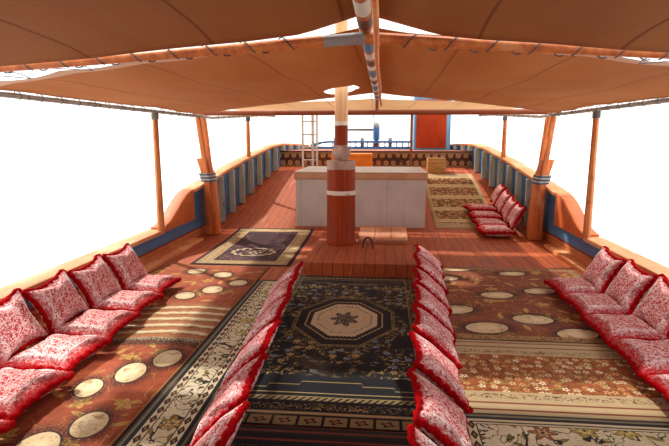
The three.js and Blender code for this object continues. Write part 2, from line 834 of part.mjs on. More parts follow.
// Columns: name, aft, fore, starboard edge, port edge
const CARPETS = [
  ["carpet_aisle", -900, 6700, -850, 600],
  ["carpet_starboard", -1300, 6700, -2780, -870],
  ["carpet_port", -1500, 6700, 680, 2780],
  ["carpet_aft_starboard", -3900, -1320, -2450, -1020],
  ["carpet_aft_port", -7850, -4100, 1200, 2450],
];
CARPETS.forEach(([name, aft, fore, starboard, port]) =>
  piece(
    name,
    strake(aft, fore, (x) => {
      const most = inside(x) - 60;
      return [Math.max(starboard, -most), Math.min(port, most), deckAt(x) + GAP, deckAt(x) + PILE];
    }),
    PAINT.carpet,
    0.95,
  ),
);

// Cushions: rows of seats on the carpets, with backs that lean on the bulwarks, and two rows that lean
// towards each other along the aisle. The rows aren't quite straight: each piece lies a little further in
// than the one aft of it.
const CUSHION = 620;
const SEAT = { outer: 2490, thick: 130 };
const BACK = { foot: 2480, head: 2670, thick: 140, high: 480 };
const AISLE_ROW = { thick: 110, high: 350 };
const onPile = (x) => deckAt(x) + PILE + GAP;
const cushionRow = (aft, count, piecesAt) =>
  join(...Array.from({ length: count }, (_, k) => piecesAt(aft + k * CUSHION, k)).flat());
const seat = (from, inner, sign) => {
  const [y0, y1] = [sign * inner, sign * SEAT.outer].sort((a, b) => a - b);
  return box(from, from + CUSHION + 1, y0, y1, onPile(from), onPile(from) + SEAT.thick);
};
// A leaning piece stands on its long edge. foot and head are the near edges of its lower and upper end,
// and its thickness points away from the boat's middle. sign is the side of the boat.
const leaning = (from, long, low, foot, head, form, sign) =>
  crossPlate(
    [
      [foot, low],
      [foot + form.thick, low],
      [head + form.thick, low + form.high],
      [head, low + form.high],
    ].map(([y, z]) => [sign * y, z]),
    from,
    from + long + 1,
  );
// Columns: name, side, aft end, count, inner edge aft, how far each piece lies further in, least inner edge
const SIDE_ROWS = [
  ["cushions_starboard", -1, -250, 8, 2100, 50, 1880],
  ["cushions_port", 1, -570, 8, 2080, 18, 1980],
];
SIDE_ROWS.forEach(([name, sign, aft, count, inner, step, least]) =>
  piece(
    name,
    cushionRow(aft, count, (from, k) => [
      seat(from, Math.max(least, inner - k * step), sign),
      leaning(from, CUSHION, onPile(from), BACK.foot, BACK.head, BACK, sign),
    ]),
    PAINT.red,
    0.95,
  ),
);
// Columns: name, side, aft end, count, upper edge aft, how far each piece lies further in, lean
const AISLE_ROWS = [
  ["cushions_aisle_starboard", -1, -80, 8, 580, 35, 340],
  ["cushions_aisle_port", 1, -1200, 10, 570, 41, 400],
];
AISLE_ROWS.forEach(([name, sign, aft, count, head, step, lean]) =>
  piece(
    name,
    cushionRow(aft, count, (from, k) => [
      leaning(from, CUSHION, onPile(from), head - k * step + lean, head - k * step, AISLE_ROW, sign),
    ]),
    PAINT.red,
    0.95,
  ),
);
const AFT_ROW = { seats: -5350, backs: -5680, long: 500, count: 4 };
const AFT_BACK = { foot: 2450, head: 2650, thick: 130, high: 450 };
const aftRow = [
  strake(AFT_ROW.seats, AFT_ROW.seats + AFT_ROW.count * AFT_ROW.long, (x) => [
    1900,
    AFT_BACK.foot + 20,
    onPile(x),
    onPile(x) + SEAT.thick,
  ]),
];
for (let k = 0; k < AFT_ROW.count; k++) {
  const from = AFT_ROW.backs + k * AFT_ROW.long;
  aftRow.push(leaning(from, AFT_ROW.long, onPile(from), AFT_BACK.foot, AFT_BACK.head, AFT_BACK, 1));
}
piece("cushions_aft_port", join(...aftRow), PAINT.red, 0.95);

export default boat;
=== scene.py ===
# Wooden passenger dhow, lying in harbour under its canvas awnings.
# Metres: +X to the bow, +Y to port, +Z up, with the waterline at z = 0.
import math
import random

import bmesh
import bpy
from mathutils import Matrix, Vector, kdtree, noise


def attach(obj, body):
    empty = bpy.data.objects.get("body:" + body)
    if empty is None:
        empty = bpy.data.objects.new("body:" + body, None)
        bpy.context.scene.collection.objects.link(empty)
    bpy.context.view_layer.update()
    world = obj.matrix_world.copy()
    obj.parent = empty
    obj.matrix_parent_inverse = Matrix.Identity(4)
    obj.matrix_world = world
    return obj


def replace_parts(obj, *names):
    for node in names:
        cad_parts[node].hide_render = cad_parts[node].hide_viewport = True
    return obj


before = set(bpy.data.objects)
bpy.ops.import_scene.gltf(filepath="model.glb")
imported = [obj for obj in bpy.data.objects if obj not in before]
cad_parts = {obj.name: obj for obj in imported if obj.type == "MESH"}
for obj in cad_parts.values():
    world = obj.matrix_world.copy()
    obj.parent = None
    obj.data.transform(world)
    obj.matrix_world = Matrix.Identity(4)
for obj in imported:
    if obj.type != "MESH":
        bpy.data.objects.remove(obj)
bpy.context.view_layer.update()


# Water and daylight.
# The boat floats, so a plain pale floor stands for the water at z = 0. The low sun comes from aft and
# starboard over the awnings, a high one from above, and a pale sky fills the shade. The eye stands
# forward on the deck and looks aft.
scene = bpy.context.scene
EYE = Vector((5.5, 0.22, 2.65))
EYE_DOWN = math.radians(9.4)
EYE_TURN = math.radians(5.3)
eye_data = bpy.data.cameras.new("deck_eye")
eye_data.sensor_width = 36.0
eye_data.lens = 27.98
eye_data.clip_end = 500.0
eye = bpy.data.objects.new("deck_eye", eye_data)
scene.collection.objects.link(eye)
level = -math.cos(EYE_DOWN)
gaze = Vector((level * math.cos(EYE_TURN), level * math.sin(EYE_TURN), -math.sin(EYE_DOWN)))
eye.rotation_euler = gaze.to_track_quat("-Z", "Y").to_euler()
eye.location = EYE
scene.camera = eye
scene.view_settings.view_transform = "Standard"


def shade(code):
    """The linear colour of a six-digit paint code."""
    parts = [int(code[i : i + 2], 16) / 255 for i in (0, 2, 4)]
    return (*[c / 12.92 if c <= 0.04045 else ((c + 0.055) / 1.055) ** 2.4 for c in parts], 1.0)


class Wire:
    """A socket of a finish. Expressions on it add Math nodes."""

    def __init__(self, finish, socket):
        self.finish = finish
        self.socket = socket

    def math(self, operation, *values):
        return self.finish.node("ShaderNodeMath", {"operation": operation}, dict(enumerate(values)))

    def __add__(self, other):
        return self.math("ADD", self, other)

    def __radd__(self, other):
        return self.math("ADD", other, self)

    def __sub__(self, other):
        return self.math("SUBTRACT", self, other)

    def __rsub__(self, other):
        return self.math("SUBTRACT", other, self)

    def __mul__(self, other):
        return self.math("MULTIPLY", self, other)

    def __rmul__(self, other):
        return self.math("MULTIPLY", other, self)

    def __truediv__(self, other):
        return self.math("DIVIDE", self, other)

    def __mod__(self, other):
        return self.math("FLOORED_MODULO", self, other)

    def __pow__(self, other):
        return self.math("POWER", self, other)

    def __abs__(self):
        return self.math("ABSOLUTE", self)

    def floor(self):
        return self.math("FLOOR", self)

    def sin(self):
        return self.math("SINE", self)

    def least(self, other):
        return self.math("MINIMUM", self, other)

    def most(self, other):
        return self.math("MAXIMUM", self, other)

    def ramp(self, low, high):
        """0 at low and 1 at high, and level beyond them; low may be the greater."""
        return self.finish.node("ShaderNodeMapRange", {"clamp": True}, {0: self, 1: low, 2: high})

    def within(self, low, high, soft=0.004):
        """1 between low and high."""
        return self.ramp(low - soft, low + soft) * self.ramp(high + soft, high - soft)

    def every(self, length):
        """0 to 1 along each length, over and over."""
        return (self % length) / length

    def ends(self, inner, outer):
        """1 near 0 and near 1: the gaps between boards along an "every"."""
        return (self.ramp(inner, outer) + self.ramp(1 - inner, 1 - outer)).least(1.0)


class Finish:
    """A surface finish. Its fixed numbers are set on the shader's own sockets."""

    def __init__(self, name, **fixed):
        self.material = bpy.data.materials.new(name)
        self.material.use_nodes = True
        self.tree = self.material.node_tree
        self.shader = self.tree.nodes["Principled BSDF"]
        for key, value in fixed.items():
            self.shader.inputs[key.replace("_", " ")].default_value = value
        self.spot = self.node("ShaderNodeTexCoord", output="Object")
        self.x, self.y, self.z = self.split(self.spot)

    def node(self, kind, settings=None, inputs=None, output=0):
        made = self.tree.nodes.new(kind)
        for key, value in (settings or {}).items():
            setattr(made, key, value)
        for key, value in (inputs or {}).items():
            if isinstance(value, Wire):
                self.tree.links.new(value.socket, made.inputs[key])
            else:
                made.inputs[key].default_value = shade(value) if isinstance(value, str) else value
        return Wire(self, made.outputs[output])

    def split(self, vector):
        apart = self.tree.nodes.new("ShaderNodeSeparateXYZ")
        self.tree.links.new(vector.socket, apart.inputs[0])
        return [Wire(self, apart.outputs[i]) for i in range(3)]

    def joined(self, x, y, z=0.0):
        return self.node("ShaderNodeCombineXYZ", None, {0: x, 1: y, 2: z})

    def scaled(self, vector, sizes):
        return self.node("ShaderNodeVectorMath", {"operation": "MULTIPLY"}, {0: vector, 1: sizes})

    def noise(self, scale, stretch=(1, 1, 1), detail=3.0, rough=0.55, warp=0.0, spot=None):
        spot = self.scaled(spot or self.spot, stretch)
        values = {"Vector": spot, "Scale": scale, "Detail": detail, "Roughness": rough, "Distortion": warp}
        return self.node("ShaderNodeTexNoise", None, values)

    def mix(self, share, first, second):
        """A blend. Each colour is a paint code, a wire, or another blend as (share, first, second)."""
        first, second = (self.mix(*c) if isinstance(c, tuple) else c for c in (first, second))
        return self.node("ShaderNodeMix", {"data_type": "RGBA"}, {0: share, 6: first, 7: second}, 2)

    def layers(self, base, *coats):
        """base under coats of (share, colour), the last on top."""
        base = self.mix(*base) if isinstance(base, tuple) else base
        for share, colour in coats:
            base = self.mix(share, base, colour)
        return base

    def paint(self, base, *coats, rough=None, height=None, depth=0.004, strength=0.6):
        """Gives the shader its coats, and its roughness and relief where they vary."""
        self.tree.links.new(self.layers(base, *coats).socket, self.shader.inputs["Base Color"])
        if rough is not None:
            self.tree.links.new(rough.socket, self.shader.inputs["Roughness"])
        if height is not None:
            values = {"Strength": strength, "Distance": depth, "Height": height}
            bump = self.node("ShaderNodeBump", None, values)
            self.tree.links.new(bump.socket, self.shader.inputs["Normal"])


water = Finish("still_pale_water", Roughness=0.6)
ripple = water.noise(0.5, detail=2.0)
water.paint((ripple.ramp(0.3, 0.7), "e9e6e0", "f1eee8"))
bm = bmesh.new()
bmesh.ops.create_grid(bm, x_segments=1, y_segments=1, size=200.0)
water_mesh = bpy.data.meshes.new("floor_at_waterline")
bm.to_mesh(water_mesh)
bm.free()
water_mesh.materials.append(water.material)
floor = bpy.data.objects.new("floor_at_waterline", water_mesh)
scene.collection.objects.link(floor)

sky = bpy.data.worlds.new("pale_sky")
sky.use_nodes = True
sky.node_tree.nodes["Background"].inputs["Color"].default_value = (1.0, 0.97, 0.93, 1.0)
sky.node_tree.nodes["Background"].inputs["Strength"].default_value = 1.55
scene.world = sky
for name, power, colour, way in (
    ("sun_from_astern", 4.3, (1.0, 0.93, 0.82), (0.42, 0.5, -0.76)),
    ("sun_overhead", 2.7, (1.0, 0.95, 0.86), (0.05, -0.25, -0.97)),
):
    sun_data = bpy.data.lights.new(name, "SUN")
    sun_data.energy = power
    sun_data.angle = math.radians(2.5)
    sun_data.color = colour
    sun = bpy.data.objects.new(name, sun_data)
    sun.rotation_euler = Vector(way).to_track_quat("-Z", "Y").to_euler()
    scene.collection.objects.link(sun)


# Hull planking.
# Teak strakes on frames, fastened with iron nails and oiled; below a white line the bottom carries
# red-brown antifouling. The seams follow the sheer, so the planks' count is the same at every station.
def new_piece(name, bm, finish, body="boat", smooth=None):
    """The mesh as a named piece that rides on a body. smooth is the angle that still shades as round."""
    mesh = bpy.data.meshes.new(name)
    bm.to_mesh(mesh)
    bm.free()
    mesh.materials.append(finish.material)
    if smooth is not None:
        mesh.shade_smooth()
        mesh.set_sharp_from_angle(angle=math.radians(smooth))
    made = bpy.data.objects.new(name, mesh)
    scene.collection.objects.link(made)
    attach(made, body)
    return made


def ease(bm, edges, offset, segments=2, clamp=True):
    """Rounds edges off by a bevel."""
    bmesh.ops.bevel(
        bm, geom=edges, offset=offset, offset_type="OFFSET", segments=segments, profile=0.5,
        affect="EDGES", material=-1, clamp_overlap=clamp,
    )


def copied(node, edge=0.0, flat=1.0):
    """A merged copy of a CAD node's mesh, with its corners of over 30 degrees eased by edge."""
    bm = bmesh.new()
    bm.from_mesh(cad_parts[node].data)
    bmesh.ops.remove_doubles(bm, verts=bm.verts, dist=0.0002)
    bmesh.ops.dissolve_limit(bm, angle_limit=math.radians(flat), verts=bm.verts, edges=bm.edges)
    if edge:
        ease(bm, [e for e in bm.edges if e.is_manifold and e.calc_face_angle() > math.radians(30)], edge)
    return bm


def sections(node, ring_points=4):
    """A function from x to a long piece's [least y, greatest y, lowest z, highest z]."""
    rows = {}
    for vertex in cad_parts[node].data.vertices:
        rows.setdefault(round(vertex.co.x, 3), []).append(vertex.co)
    table = [
        (x, min(p.y for p in ring), max(p.y for p in ring), min(p.z for p in ring), max(p.z for p in ring))
        for x, ring in sorted(rows.items())
        if len(ring) >= ring_points
    ]

    def at(x):
        x = min(max(x, table[0][0]), table[-1][0] - 1e-6)
        after = next(i for i, row in enumerate(table) if row[0] > x)
        low, high = table[after - 1], table[after]
        t = (x - low[0]) / (high[0] - low[0])
        return [low[k] + (high[k] - low[k]) * t for k in range(1, 5)]

    return at


def at_waterline(height, antifouling):
    """The coats of the white line above the water and of the bottom under it."""
    return (height.ramp(0.16, 0.155), "d8d4c8"), (height.ramp(0.08, 0.075), antifouling)


STRAKES = 17
PLANK_LENGTH = 5.3
hull_at = sections("hull", 18)
bm = copied("hull", flat=0.1)
uv = bm.loops.layers.uv.new("planks")
for face in bm.faces:
    for loop in face.loops:
        low, high = hull_at(loop.vert.co.x)[2:]
        loop[uv].uv = (loop.vert.co.x, (loop.vert.co.z - low) / (high - low) * STRAKES)

oiled = Finish("oiled_teak_planks", Roughness=0.5)
plank_u, plank_v, _ = oiled.split(oiled.node("ShaderNodeUVMap", {"uv_map": "planks"}))
row = plank_v.floor()
across = plank_v - row
shifted = plank_u + row * 1.7
butt = shifted % PLANK_LENGTH
board = oiled.joined(row, (shifted / PLANK_LENGTH).floor())
plank_tone = oiled.node("ShaderNodeTexWhiteNoise", {"noise_dimensions": "2D"}, {"Vector": board})
grain = oiled.noise(5.0, (0.35, 3.0, 6.0), detail=6.0, rough=0.65)
weathering = oiled.noise(0.7, (0.6, 1, 1.4), detail=5.0, rough=0.6)
seam = across.ends(0.05, 0.015).most(butt.ramp(0.012, 0.004))
nail_rows = across.within(0.2, 0.25, 0.02) + across.within(0.75, 0.8, 0.02)
nails = abs((plank_u % 0.55) - 0.03).ramp(0.012, 0.006) * nail_rows
below = oiled.z + weathering * 0.02
oiled.paint(
    (grain.ramp(0.3, 0.7), "6d3f20", "a0653a"),
    (plank_tone * 0.35, "7b4a2b"),
    (weathering.ramp(0.55, 0.85) * 0.5, "b89473"),
    (nails * 0.5, "3a2a20"),
    (seam, "24160e"),
    *at_waterline(below, (weathering.ramp(0.35, 0.65), "6b2a20", "84382a")),
    (below.ramp(0.35, 0.0) * weathering.ramp(0.4, 0.7) * 0.5, "6f6a4c"),
    rough=0.35 + grain * 0.35,
    height=grain * 0.2 - seam - nails * 0.5, depth=0.006, strength=0.8,
)
hull_planking = new_piece("hull_planking", bm, oiled, smooth=35)
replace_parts(hull_planking, "hull")


# Backbone.
# The keel with its heel, the sternpost and the raking stem are sawn from heavy teak balks and bolted
# together; they carry the bottom's antifouling up to the waterline and oil above it.
def remade(name, node, finish, edge=0.0, flat=1.0, body="boat", smooth=None):
    """A CAD node's own shape, its corners eased, as a finished piece that takes its place."""
    made = new_piece(name, copied(node, edge, flat), finish, body, smooth)
    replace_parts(made, node)


balk = Finish("oiled_backbone_timber", Roughness=0.6)
grain = balk.noise(6.0, (0.5, 4.0, 1.6), detail=5.0)
worn = balk.noise(1.3, detail=4.0)
balk.paint(
    (grain.ramp(0.3, 0.7), "5f361c", "93592f"),
    (worn.ramp(0.58, 0.8) * 0.6, "b08a66"),
    *at_waterline(balk.z, (worn.ramp(0.35, 0.65), "65281e", "803626")),
    rough=0.45 + grain * 0.3,
    height=grain,
)
for node in ("keel_and_sternpost", "stem"):
    remade("shaped_" + node, node, balk, 0.018, smooth=40)


# Decks.
# The open deck is planked fore and aft and painted terracotta, rubbed through to the wood where people
# walk. The foredeck is bare teak, laid with the same narrow planks and payed seams.
def cover(finish, *nodes):
    """Gives CAD nodes a finish."""
    for node in nodes:
        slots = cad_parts[node].data.materials
        for i in range(len(slots)):
            slots[i] = finish.material


DECK_PLANK = 0.135
walked = Finish("walked_deck_paint", Roughness=0.7)
lane_row = (walked.y / DECK_PLANK).floor()
deck_butt = (walked.x + lane_row * 2.3) % 4.1
lane_tone = walked.node("ShaderNodeTexWhiteNoise", {"noise_dimensions": "1D"}, {"W": lane_row})
deck_grain = walked.noise(7.0, (0.3, 4.0, 1.0), detail=5.0, rough=0.65)
rubbed = walked.noise(1.6, (0.7, 1.3, 1.0), detail=6.0, rough=0.62)
deck_seam = walked.y.every(DECK_PLANK).ends(0.05, 0.02).most(deck_butt.ramp(0.012, 0.005))
walked.paint(
    (deck_grain.ramp(0.35, 0.65), "984014", "b85622"),
    (lane_tone * 0.3, "87401d"),
    (rubbed.ramp(0.56, 0.74) * deck_grain.ramp(0.35, 0.6) * 0.8, "c08a66"),
    (rubbed.ramp(0.42, 0.28) * 0.5, "5f3226"),
    (deck_seam * 0.85, "33190f"),
    rough=0.5 + rubbed * 0.35,
    height=deck_grain * 0.3 - deck_seam, strength=0.7,
)
cover(walked, "deck", "mast_platform")

bare = Finish("bare_teak_deck", Roughness=0.7)
lane_row = (bare.y / DECK_PLANK).floor()
bare_grain = bare.noise(6.0, (0.3, 5.0, 1.0), detail=6.0, rough=0.65)
bare_seam = bare.y.every(DECK_PLANK).ends(0.06, 0.02)
bare_tone = bare.node("ShaderNodeTexWhiteNoise", {"noise_dimensions": "1D"}, {"W": lane_row})
bare.paint(
    (bare_grain.ramp(0.3, 0.7), "8a6040", "b98e62"),
    (bare_tone * 0.35, "7d5a3e"),
    (bare_seam * 0.8, "2b1d14"),
    rough=0.55 + bare_grain * 0.25,
    height=bare_grain * 0.3 - bare_seam,
)
cover(bare, "foredeck")


# Stern platform.
# A raised deck of painted boards over the after lockers; a patterned carpet hangs down its fore face.
TILE = 0.2
FRONT_FOOT = 1.86
aft_deck = Finish("stern_deck_paint", Roughness=0.65)
board_seam = aft_deck.y.every(DECK_PLANK).ends(0.05, 0.02)
aft_wear = aft_deck.noise(2.2, detail=6.0, rough=0.62)
planked = aft_deck.layers(
    (aft_wear.ramp(0.35, 0.7), "7d3e2a", "a2614a"),
    (board_seam * 0.8, "2c1710"),
)
up_front = aft_deck.z - FRONT_FOOT
tile_y = (aft_deck.y + (up_front / TILE).floor() * (TILE / 2)).every(TILE) * 2 - 1
tile_z = up_front.every(TILE) * 2 - 1
petal = (tile_y * tile_y + tile_z * tile_z) ** 0.5
petal_turn = aft_deck.node("ShaderNodeMath", {"operation": "ARCTAN2"}, {0: tile_z, 1: tile_y})
bloom = (petal / (0.62 + (petal_turn * 6.0).sin() * 0.14)).ramp(1.02, 0.98)
carpeted = aft_deck.layers(
    (aft_wear.ramp(0.4, 0.6), "3a2018", "57301f"),
    (bloom * aft_wear.ramp(0.3, 0.45), "b99a70"),
    (petal.ramp(0.34, 0.3), "5b2018"),
    (petal.ramp(0.16, 0.12), "d9c49a"),
    (aft_deck.z.within(FRONT_FOOT, 1.9, 0.003) + aft_deck.z.within(2.2, 2.24, 0.003), "8a6f4a"),
)
front = aft_deck.x.ramp(-8.602, -8.6005)
aft_deck.paint(
    (front, planked, carpeted), rough=0.6 + aft_wear * 0.3, height=aft_wear * 0.3 - board_seam
)
cover(aft_deck, "stern_platform")


# Bulwarks.
# Planks spiked to the frame heads, painted blue under the cap, then a thin dark red line and a worn
# orange-brown band down to the deck's edge. The paint is rubbed and chipped through to the wood.
def both(name):
    """The port and starboard names of a pair."""
    return name + "_port", name + "_starboard"


panel = Finish("bulwark_paint", Roughness=0.55)
panel_wear = panel.noise(2.6, (0.6, 1.0, 1.6), detail=7.0, rough=0.62)
panel_grain = panel.noise(8.0, (0.25, 3.0, 4.0), detail=4.0)
orange_band = (panel_wear.ramp(0.35, 0.6), "b0602f", "d98b52")
scuffed = panel.layers(orange_band, (panel_wear.ramp(0.55, 0.62) * 0.7, "7b4a30"))
board_line = panel.z.every(0.2).ends(0.04, 0.015)
panel.paint(
    (panel_wear.ramp(0.3, 0.65), "2f5f93", "4f83b4"),
    (panel.z.ramp(1.085, 1.08), "6e1d1a"),
    (panel.z.ramp(1.055, 1.05), scuffed),
    (panel_wear.ramp(0.66, 0.7) * 0.85, "8f6b4d"),
    (board_line * 0.5, "1d2a3a"),
    rough=0.35 + panel_wear * 0.4,
    height=panel_grain * 0.3 - board_line * 0.8, depth=0.003, strength=0.7,
)
cover(panel, *both("waist_bulwark"), *both("quarter_bulwark"), "transom")


# Bulwark frames.
# The heads of the sawn frames stand inside the raised quarters, each painted white on its fore edge
# and blue on its face, and spiked through the planking.
SIDES = (("port", 1), ("starboard", -1))
FRAME_SPACE = 0.62
HEAD_LONG, HEAD_DEEP = 0.085, 0.12
PLATFORM_X, PLATFORM_TOP = -8.62, 2.28
CLEAR = 0.004
frame_paint = Finish("frame_head_paint", Roughness=0.55)
frame_wear = frame_paint.noise(4.0, (1, 1, 0.4), detail=6.0, rough=0.6)
frame_paint.paint(
    (frame_wear.ramp(0.3, 0.7), "9dab9f", "d0d6c8"),
    (((frame_paint.x % FRAME_SPACE) - 0.3).ramp(0.0, 0.004), "3f73a6"),
    (frame_wear.ramp(0.62, 0.68), "a3754f"),
    rough=0.45 + frame_wear * 0.35,
    height=frame_wear, depth=0.002,
)
deck_at = sections("deck")
for side, sign in SIDES:
    quarter_at = sections("quarter_bulwark_" + side)
    bm = bmesh.new()
    x = -10.54
    while x < -4.0:
        inner, outer, _, top = quarter_at(x)
        skin = inner if sign > 0 else outer
        low = (PLATFORM_TOP if x < PLATFORM_X else deck_at(x)[3]) + CLEAR
        for vertex in bmesh.ops.create_cube(bm, size=1.0)["verts"]:
            y = skin + sign * (vertex.co.y * HEAD_DEEP - 0.055)
            z = low + (vertex.co.z + 0.5) * (top - CLEAR - low)
            vertex.co = Vector((x + vertex.co.x * HEAD_LONG, y, z))
        x += FRAME_SPACE
    ease(bm, bm.edges[:], 0.01)
    new_piece("frame_heads_" + side, bm, frame_paint)


# Waterways.
# A thick margin plank lies along the foot of the waist bulwark and sheds water from the deck's edge. It
# is pale worn wood, scarfed from lengths, and eased along its inner shoulder.
rail_wood = Finish("worn_rail_wood", Roughness=0.55)
rail_grain = rail_wood.noise(9.0, (0.22, 3.0, 3.0), detail=6.0, rough=0.62)
rail_wear = rail_wood.noise(2.1, (0.6, 1.4, 1.4), detail=6.0, rough=0.6)
scarf = (rail_wood.x % 2.6).ramp(0.01, 0.004)
rail_wood.paint(
    (rail_grain.ramp(0.3, 0.7), "cf7b42", "e8a56d"),
    (rail_wear.ramp(0.52, 0.66) * 0.75, "efc49a"),
    (rail_wear.ramp(0.42, 0.3) * 0.6, "9a5a36"),
    (rail_grain.ramp(0.66, 0.72) * 0.4, "6b4330"),
    (scarf * 0.8, "4a2a1a"),
    rough=0.42 + rail_wear * 0.35,
    height=rail_grain * 0.6 - scarf, depth=0.003, strength=0.8,
)
LONG, WIDE, HIGH = 7.84, 0.185, 0.05
MIDDLE_X = 0.94
FOREDECK_X = 5.0
for side, sign in SIDES:
    bulwark_at = sections("waist_bulwark_" + side)
    bm = bmesh.new()
    bmesh.ops.create_cube(bm, size=1.0, matrix=Matrix.Diagonal((LONG, WIDE, HIGH, 1.0)))
    shoulder = [e for e in bm.edges if all(v.co.z > 0 and v.co.y * sign < 0 for v in e.verts)]
    ease(bm, shoulder, 0.015, clamp=False)
    for k in range(1, 16):
        whole = bm.verts[:] + bm.edges[:] + bm.faces[:]
        bmesh.ops.bisect_plane(bm, geom=whole, plane_co=(LONG * (k / 16 - 0.5), 0, 0), plane_no=(1, 0, 0))
    for vertex in bm.verts:
        x = vertex.co.x + MIDDLE_X
        inner, outer = bulwark_at(x)[:2]
        wall = inner if sign > 0 else outer
        low = 0.901 if x <= FOREDECK_X else 0.905
        vertex.co = Vector((x, wall + vertex.co.y - sign * WIDE / 2, low + vertex.co.z + HIGH / 2))
    new_piece("waterway_" + side, bm, rail_wood, smooth=30)


# Caps, rubbing strakes and scrolls.
# Thick wooden caps finish the bulwarks, with scarfed joints. Rubbing strakes guard the deck's edge.
# Carved boards bring the raised quarters down to the waist.
for name in (*both("waist_rail"), *both("quarter_rail"), *both("rubbing_strake")):
    remade("eased_" + name, name, rail_wood, 0.012, 0.3, smooth=35)

carved = Finish("orange_carving_paint", Roughness=0.5)
carve_wear = carved.noise(3.4, detail=6.0, rough=0.62)
carve_grain = carved.noise(9.0, (0.5, 2.0, 2.0), detail=5.0)
carved.paint(
    (carve_wear.ramp(0.3, 0.7), "b9541f", "d9783a"),
    (carve_wear.ramp(0.6, 0.68) * 0.8, "8a5a3c"),
    (carve_grain.ramp(0.62, 0.7) * 0.35, "5a2c18"),
    rough=0.4 + carve_wear * 0.4,
    height=carve_grain, depth=0.003,
)
for name in both("scroll"):
    remade("carved_" + name, name, carved, 0.022, smooth=35)


# Stern rail.
# A blue rail on white turned balusters runs along the top of the transom, between square posts with
# grey tops, and curves down at its ends.
stern_rail = Finish("stern_rail_paint", Roughness=0.5)
rail_chips = stern_rail.noise(5.0, detail=6.0, rough=0.6)
rail_blue = stern_rail.mix(rail_chips.ramp(0.3, 0.7), "2b5c92", "4379ab")
between = stern_rail.z.ramp(2.472, 2.468) * (1 - abs(stern_rail.y).ramp(1.5, 1.52))
from_posts = abs(abs(stern_rail.y) - 0.43).least(abs(abs(stern_rail.y) - 1.26))
stern_rail.paint(
    rail_blue,
    (between, "dcdad4"),
    (from_posts.ramp(0.058, 0.056) * stern_rail.z.ramp(2.47, 2.46), rail_blue),
    (stern_rail.z.ramp(2.548, 2.552), "8d9195"),
    (rail_chips.ramp(0.66, 0.7), "9a7453"),
    rough=0.4 + rail_chips * 0.35,
    height=rail_chips, depth=0.002,
)
remade("stern_rail", "taffrail", stern_rail, 0.008, smooth=40)


# Frame posts.
# A heavy foot timber leans out against each bulwark where the quarter begins, with two slender poles
# bound to it by turns of blue and white rope; the poles carry the eave rails.
post_wood = Finish("orange_post_paint", Roughness=0.5)
post_grain = post_wood.noise(8.0, (2.5, 2.5, 0.3), detail=6.0, rough=0.62)
post_wear = post_wood.noise(3.0, (1, 1, 0.6), detail=6.0, rough=0.6)
post_wood.paint(
    (post_grain.ramp(0.3, 0.7), "b3551f", "dd8443"),
    (post_wear.ramp(0.56, 0.7) * 0.7, "e2ac78"),
    (post_wear.ramp(0.4, 0.28) * 0.6, "7a3c1c"),
    (post_grain.ramp(0.68, 0.74) * 0.5, "4c2513"),
    rough=0.4 + post_wear * 0.4,
    height=post_grain, depth=0.003, strength=0.8,
)
for name in both("frame_post"):
    remade("bound_" + name, name, post_wood, 0.012, smooth=35)


# Bindings.
# Grey laid cord and blue and white rope, wound tight round the posts and poles where they meet. Each
# binding is a stack of turns, round on the poles and pulled flat on the square timbers.
def evaluated(item):
    """The mesh of an object with its modifiers worked out."""
    return bpy.data.meshes.new_from_object(item.evaluated_get(bpy.context.evaluated_depsgraph_get()))


def tube(name, lines, radius, finish, sides=6, closed=False):
    """Round cord or bar along each line of points, as one mesh piece. A fourth number swells it there."""
    curve = bpy.data.curves.new(name, "CURVE")
    curve.dimensions = "3D"
    curve.bevel_depth = radius
    curve.bevel_resolution = max(0, sides // 2 - 2)
    curve.use_fill_caps = True
    for points in lines:
        spline = curve.splines.new("POLY")
        spline.points.add(len(points) - 1)
        for point, place in zip(spline.points, points):
            point.co = (*place[:3], 1.0)
            point.radius = place[3] if len(place) > 3 else 1.0
        spline.use_cyclic_u = closed
    drawn = bpy.data.objects.new(name + "_line", curve)
    scene.collection.objects.link(drawn)
    mesh = evaluated(drawn)
    bpy.data.objects.remove(drawn)
    bm = bmesh.new()
    bm.from_mesh(mesh)
    bpy.data.meshes.remove(mesh)
    bmesh.ops.remove_doubles(bm, verts=bm.verts, dist=0.00005)
    return new_piece(name, bm, finish, smooth=60)


def ring(count, place):
    """A closed line of count points, place giving the one at an angle."""
    return [place(2 * math.pi * j / count) for j in range(count)]


cordage = Finish("laid_cord", Roughness=0.85)
cord_tone = cordage.noise(2.3, detail=2.0)
cord_lay = (cordage.x + cordage.y + cordage.z).every(0.012)
cordage.paint(
    (cord_tone.ramp(0.4, 0.6), "4a4f58", "8f8a80"),
    (cord_lay.ramp(0.35, 0.15) * 0.6, "2b2a2a"),
    rough=0.8 + cord_tone * 0.1,
    height=cord_lay, depth=0.001,
)
rope_wrap = Finish("blue_and_white_rope", Roughness=0.85)
wrap_turn = rope_wrap.z.every(0.056)
wrap_twist = (rope_wrap.x * 1.3 + rope_wrap.y + rope_wrap.z * 0.4).every(0.014)
rope_wrap.paint(
    (wrap_turn.ramp(0.48, 0.52), "c9c6bd", "3f6487"),
    (wrap_twist.ramp(0.3, 0.12) * 0.6, "34343a"),
    rough=wrap_twist * 0.1 + 0.8,
    height=wrap_twist, depth=0.0015,
)
POST_X, POST_Y, POST_Z = -3.482, 2.838, 1.87
POST_LEAN = 0.28


def round_posts(sign, z):
    """One turn of rope round a foot timber and its poles: a circle pressed flat on four sides."""
    lean = (z - POST_Z) * POST_LEAN

    def place(turn):
        flat_x, flat_y = (max(-1.0, min(1.0, 1.25 * f(turn))) for f in (math.cos, math.sin))
        y = sign * (POST_Y + lean + flat_y * 0.1)
        return POST_X + flat_x * 0.187, y, z + 0.004 * math.sin(turn * 2)

    return ring(20, place)


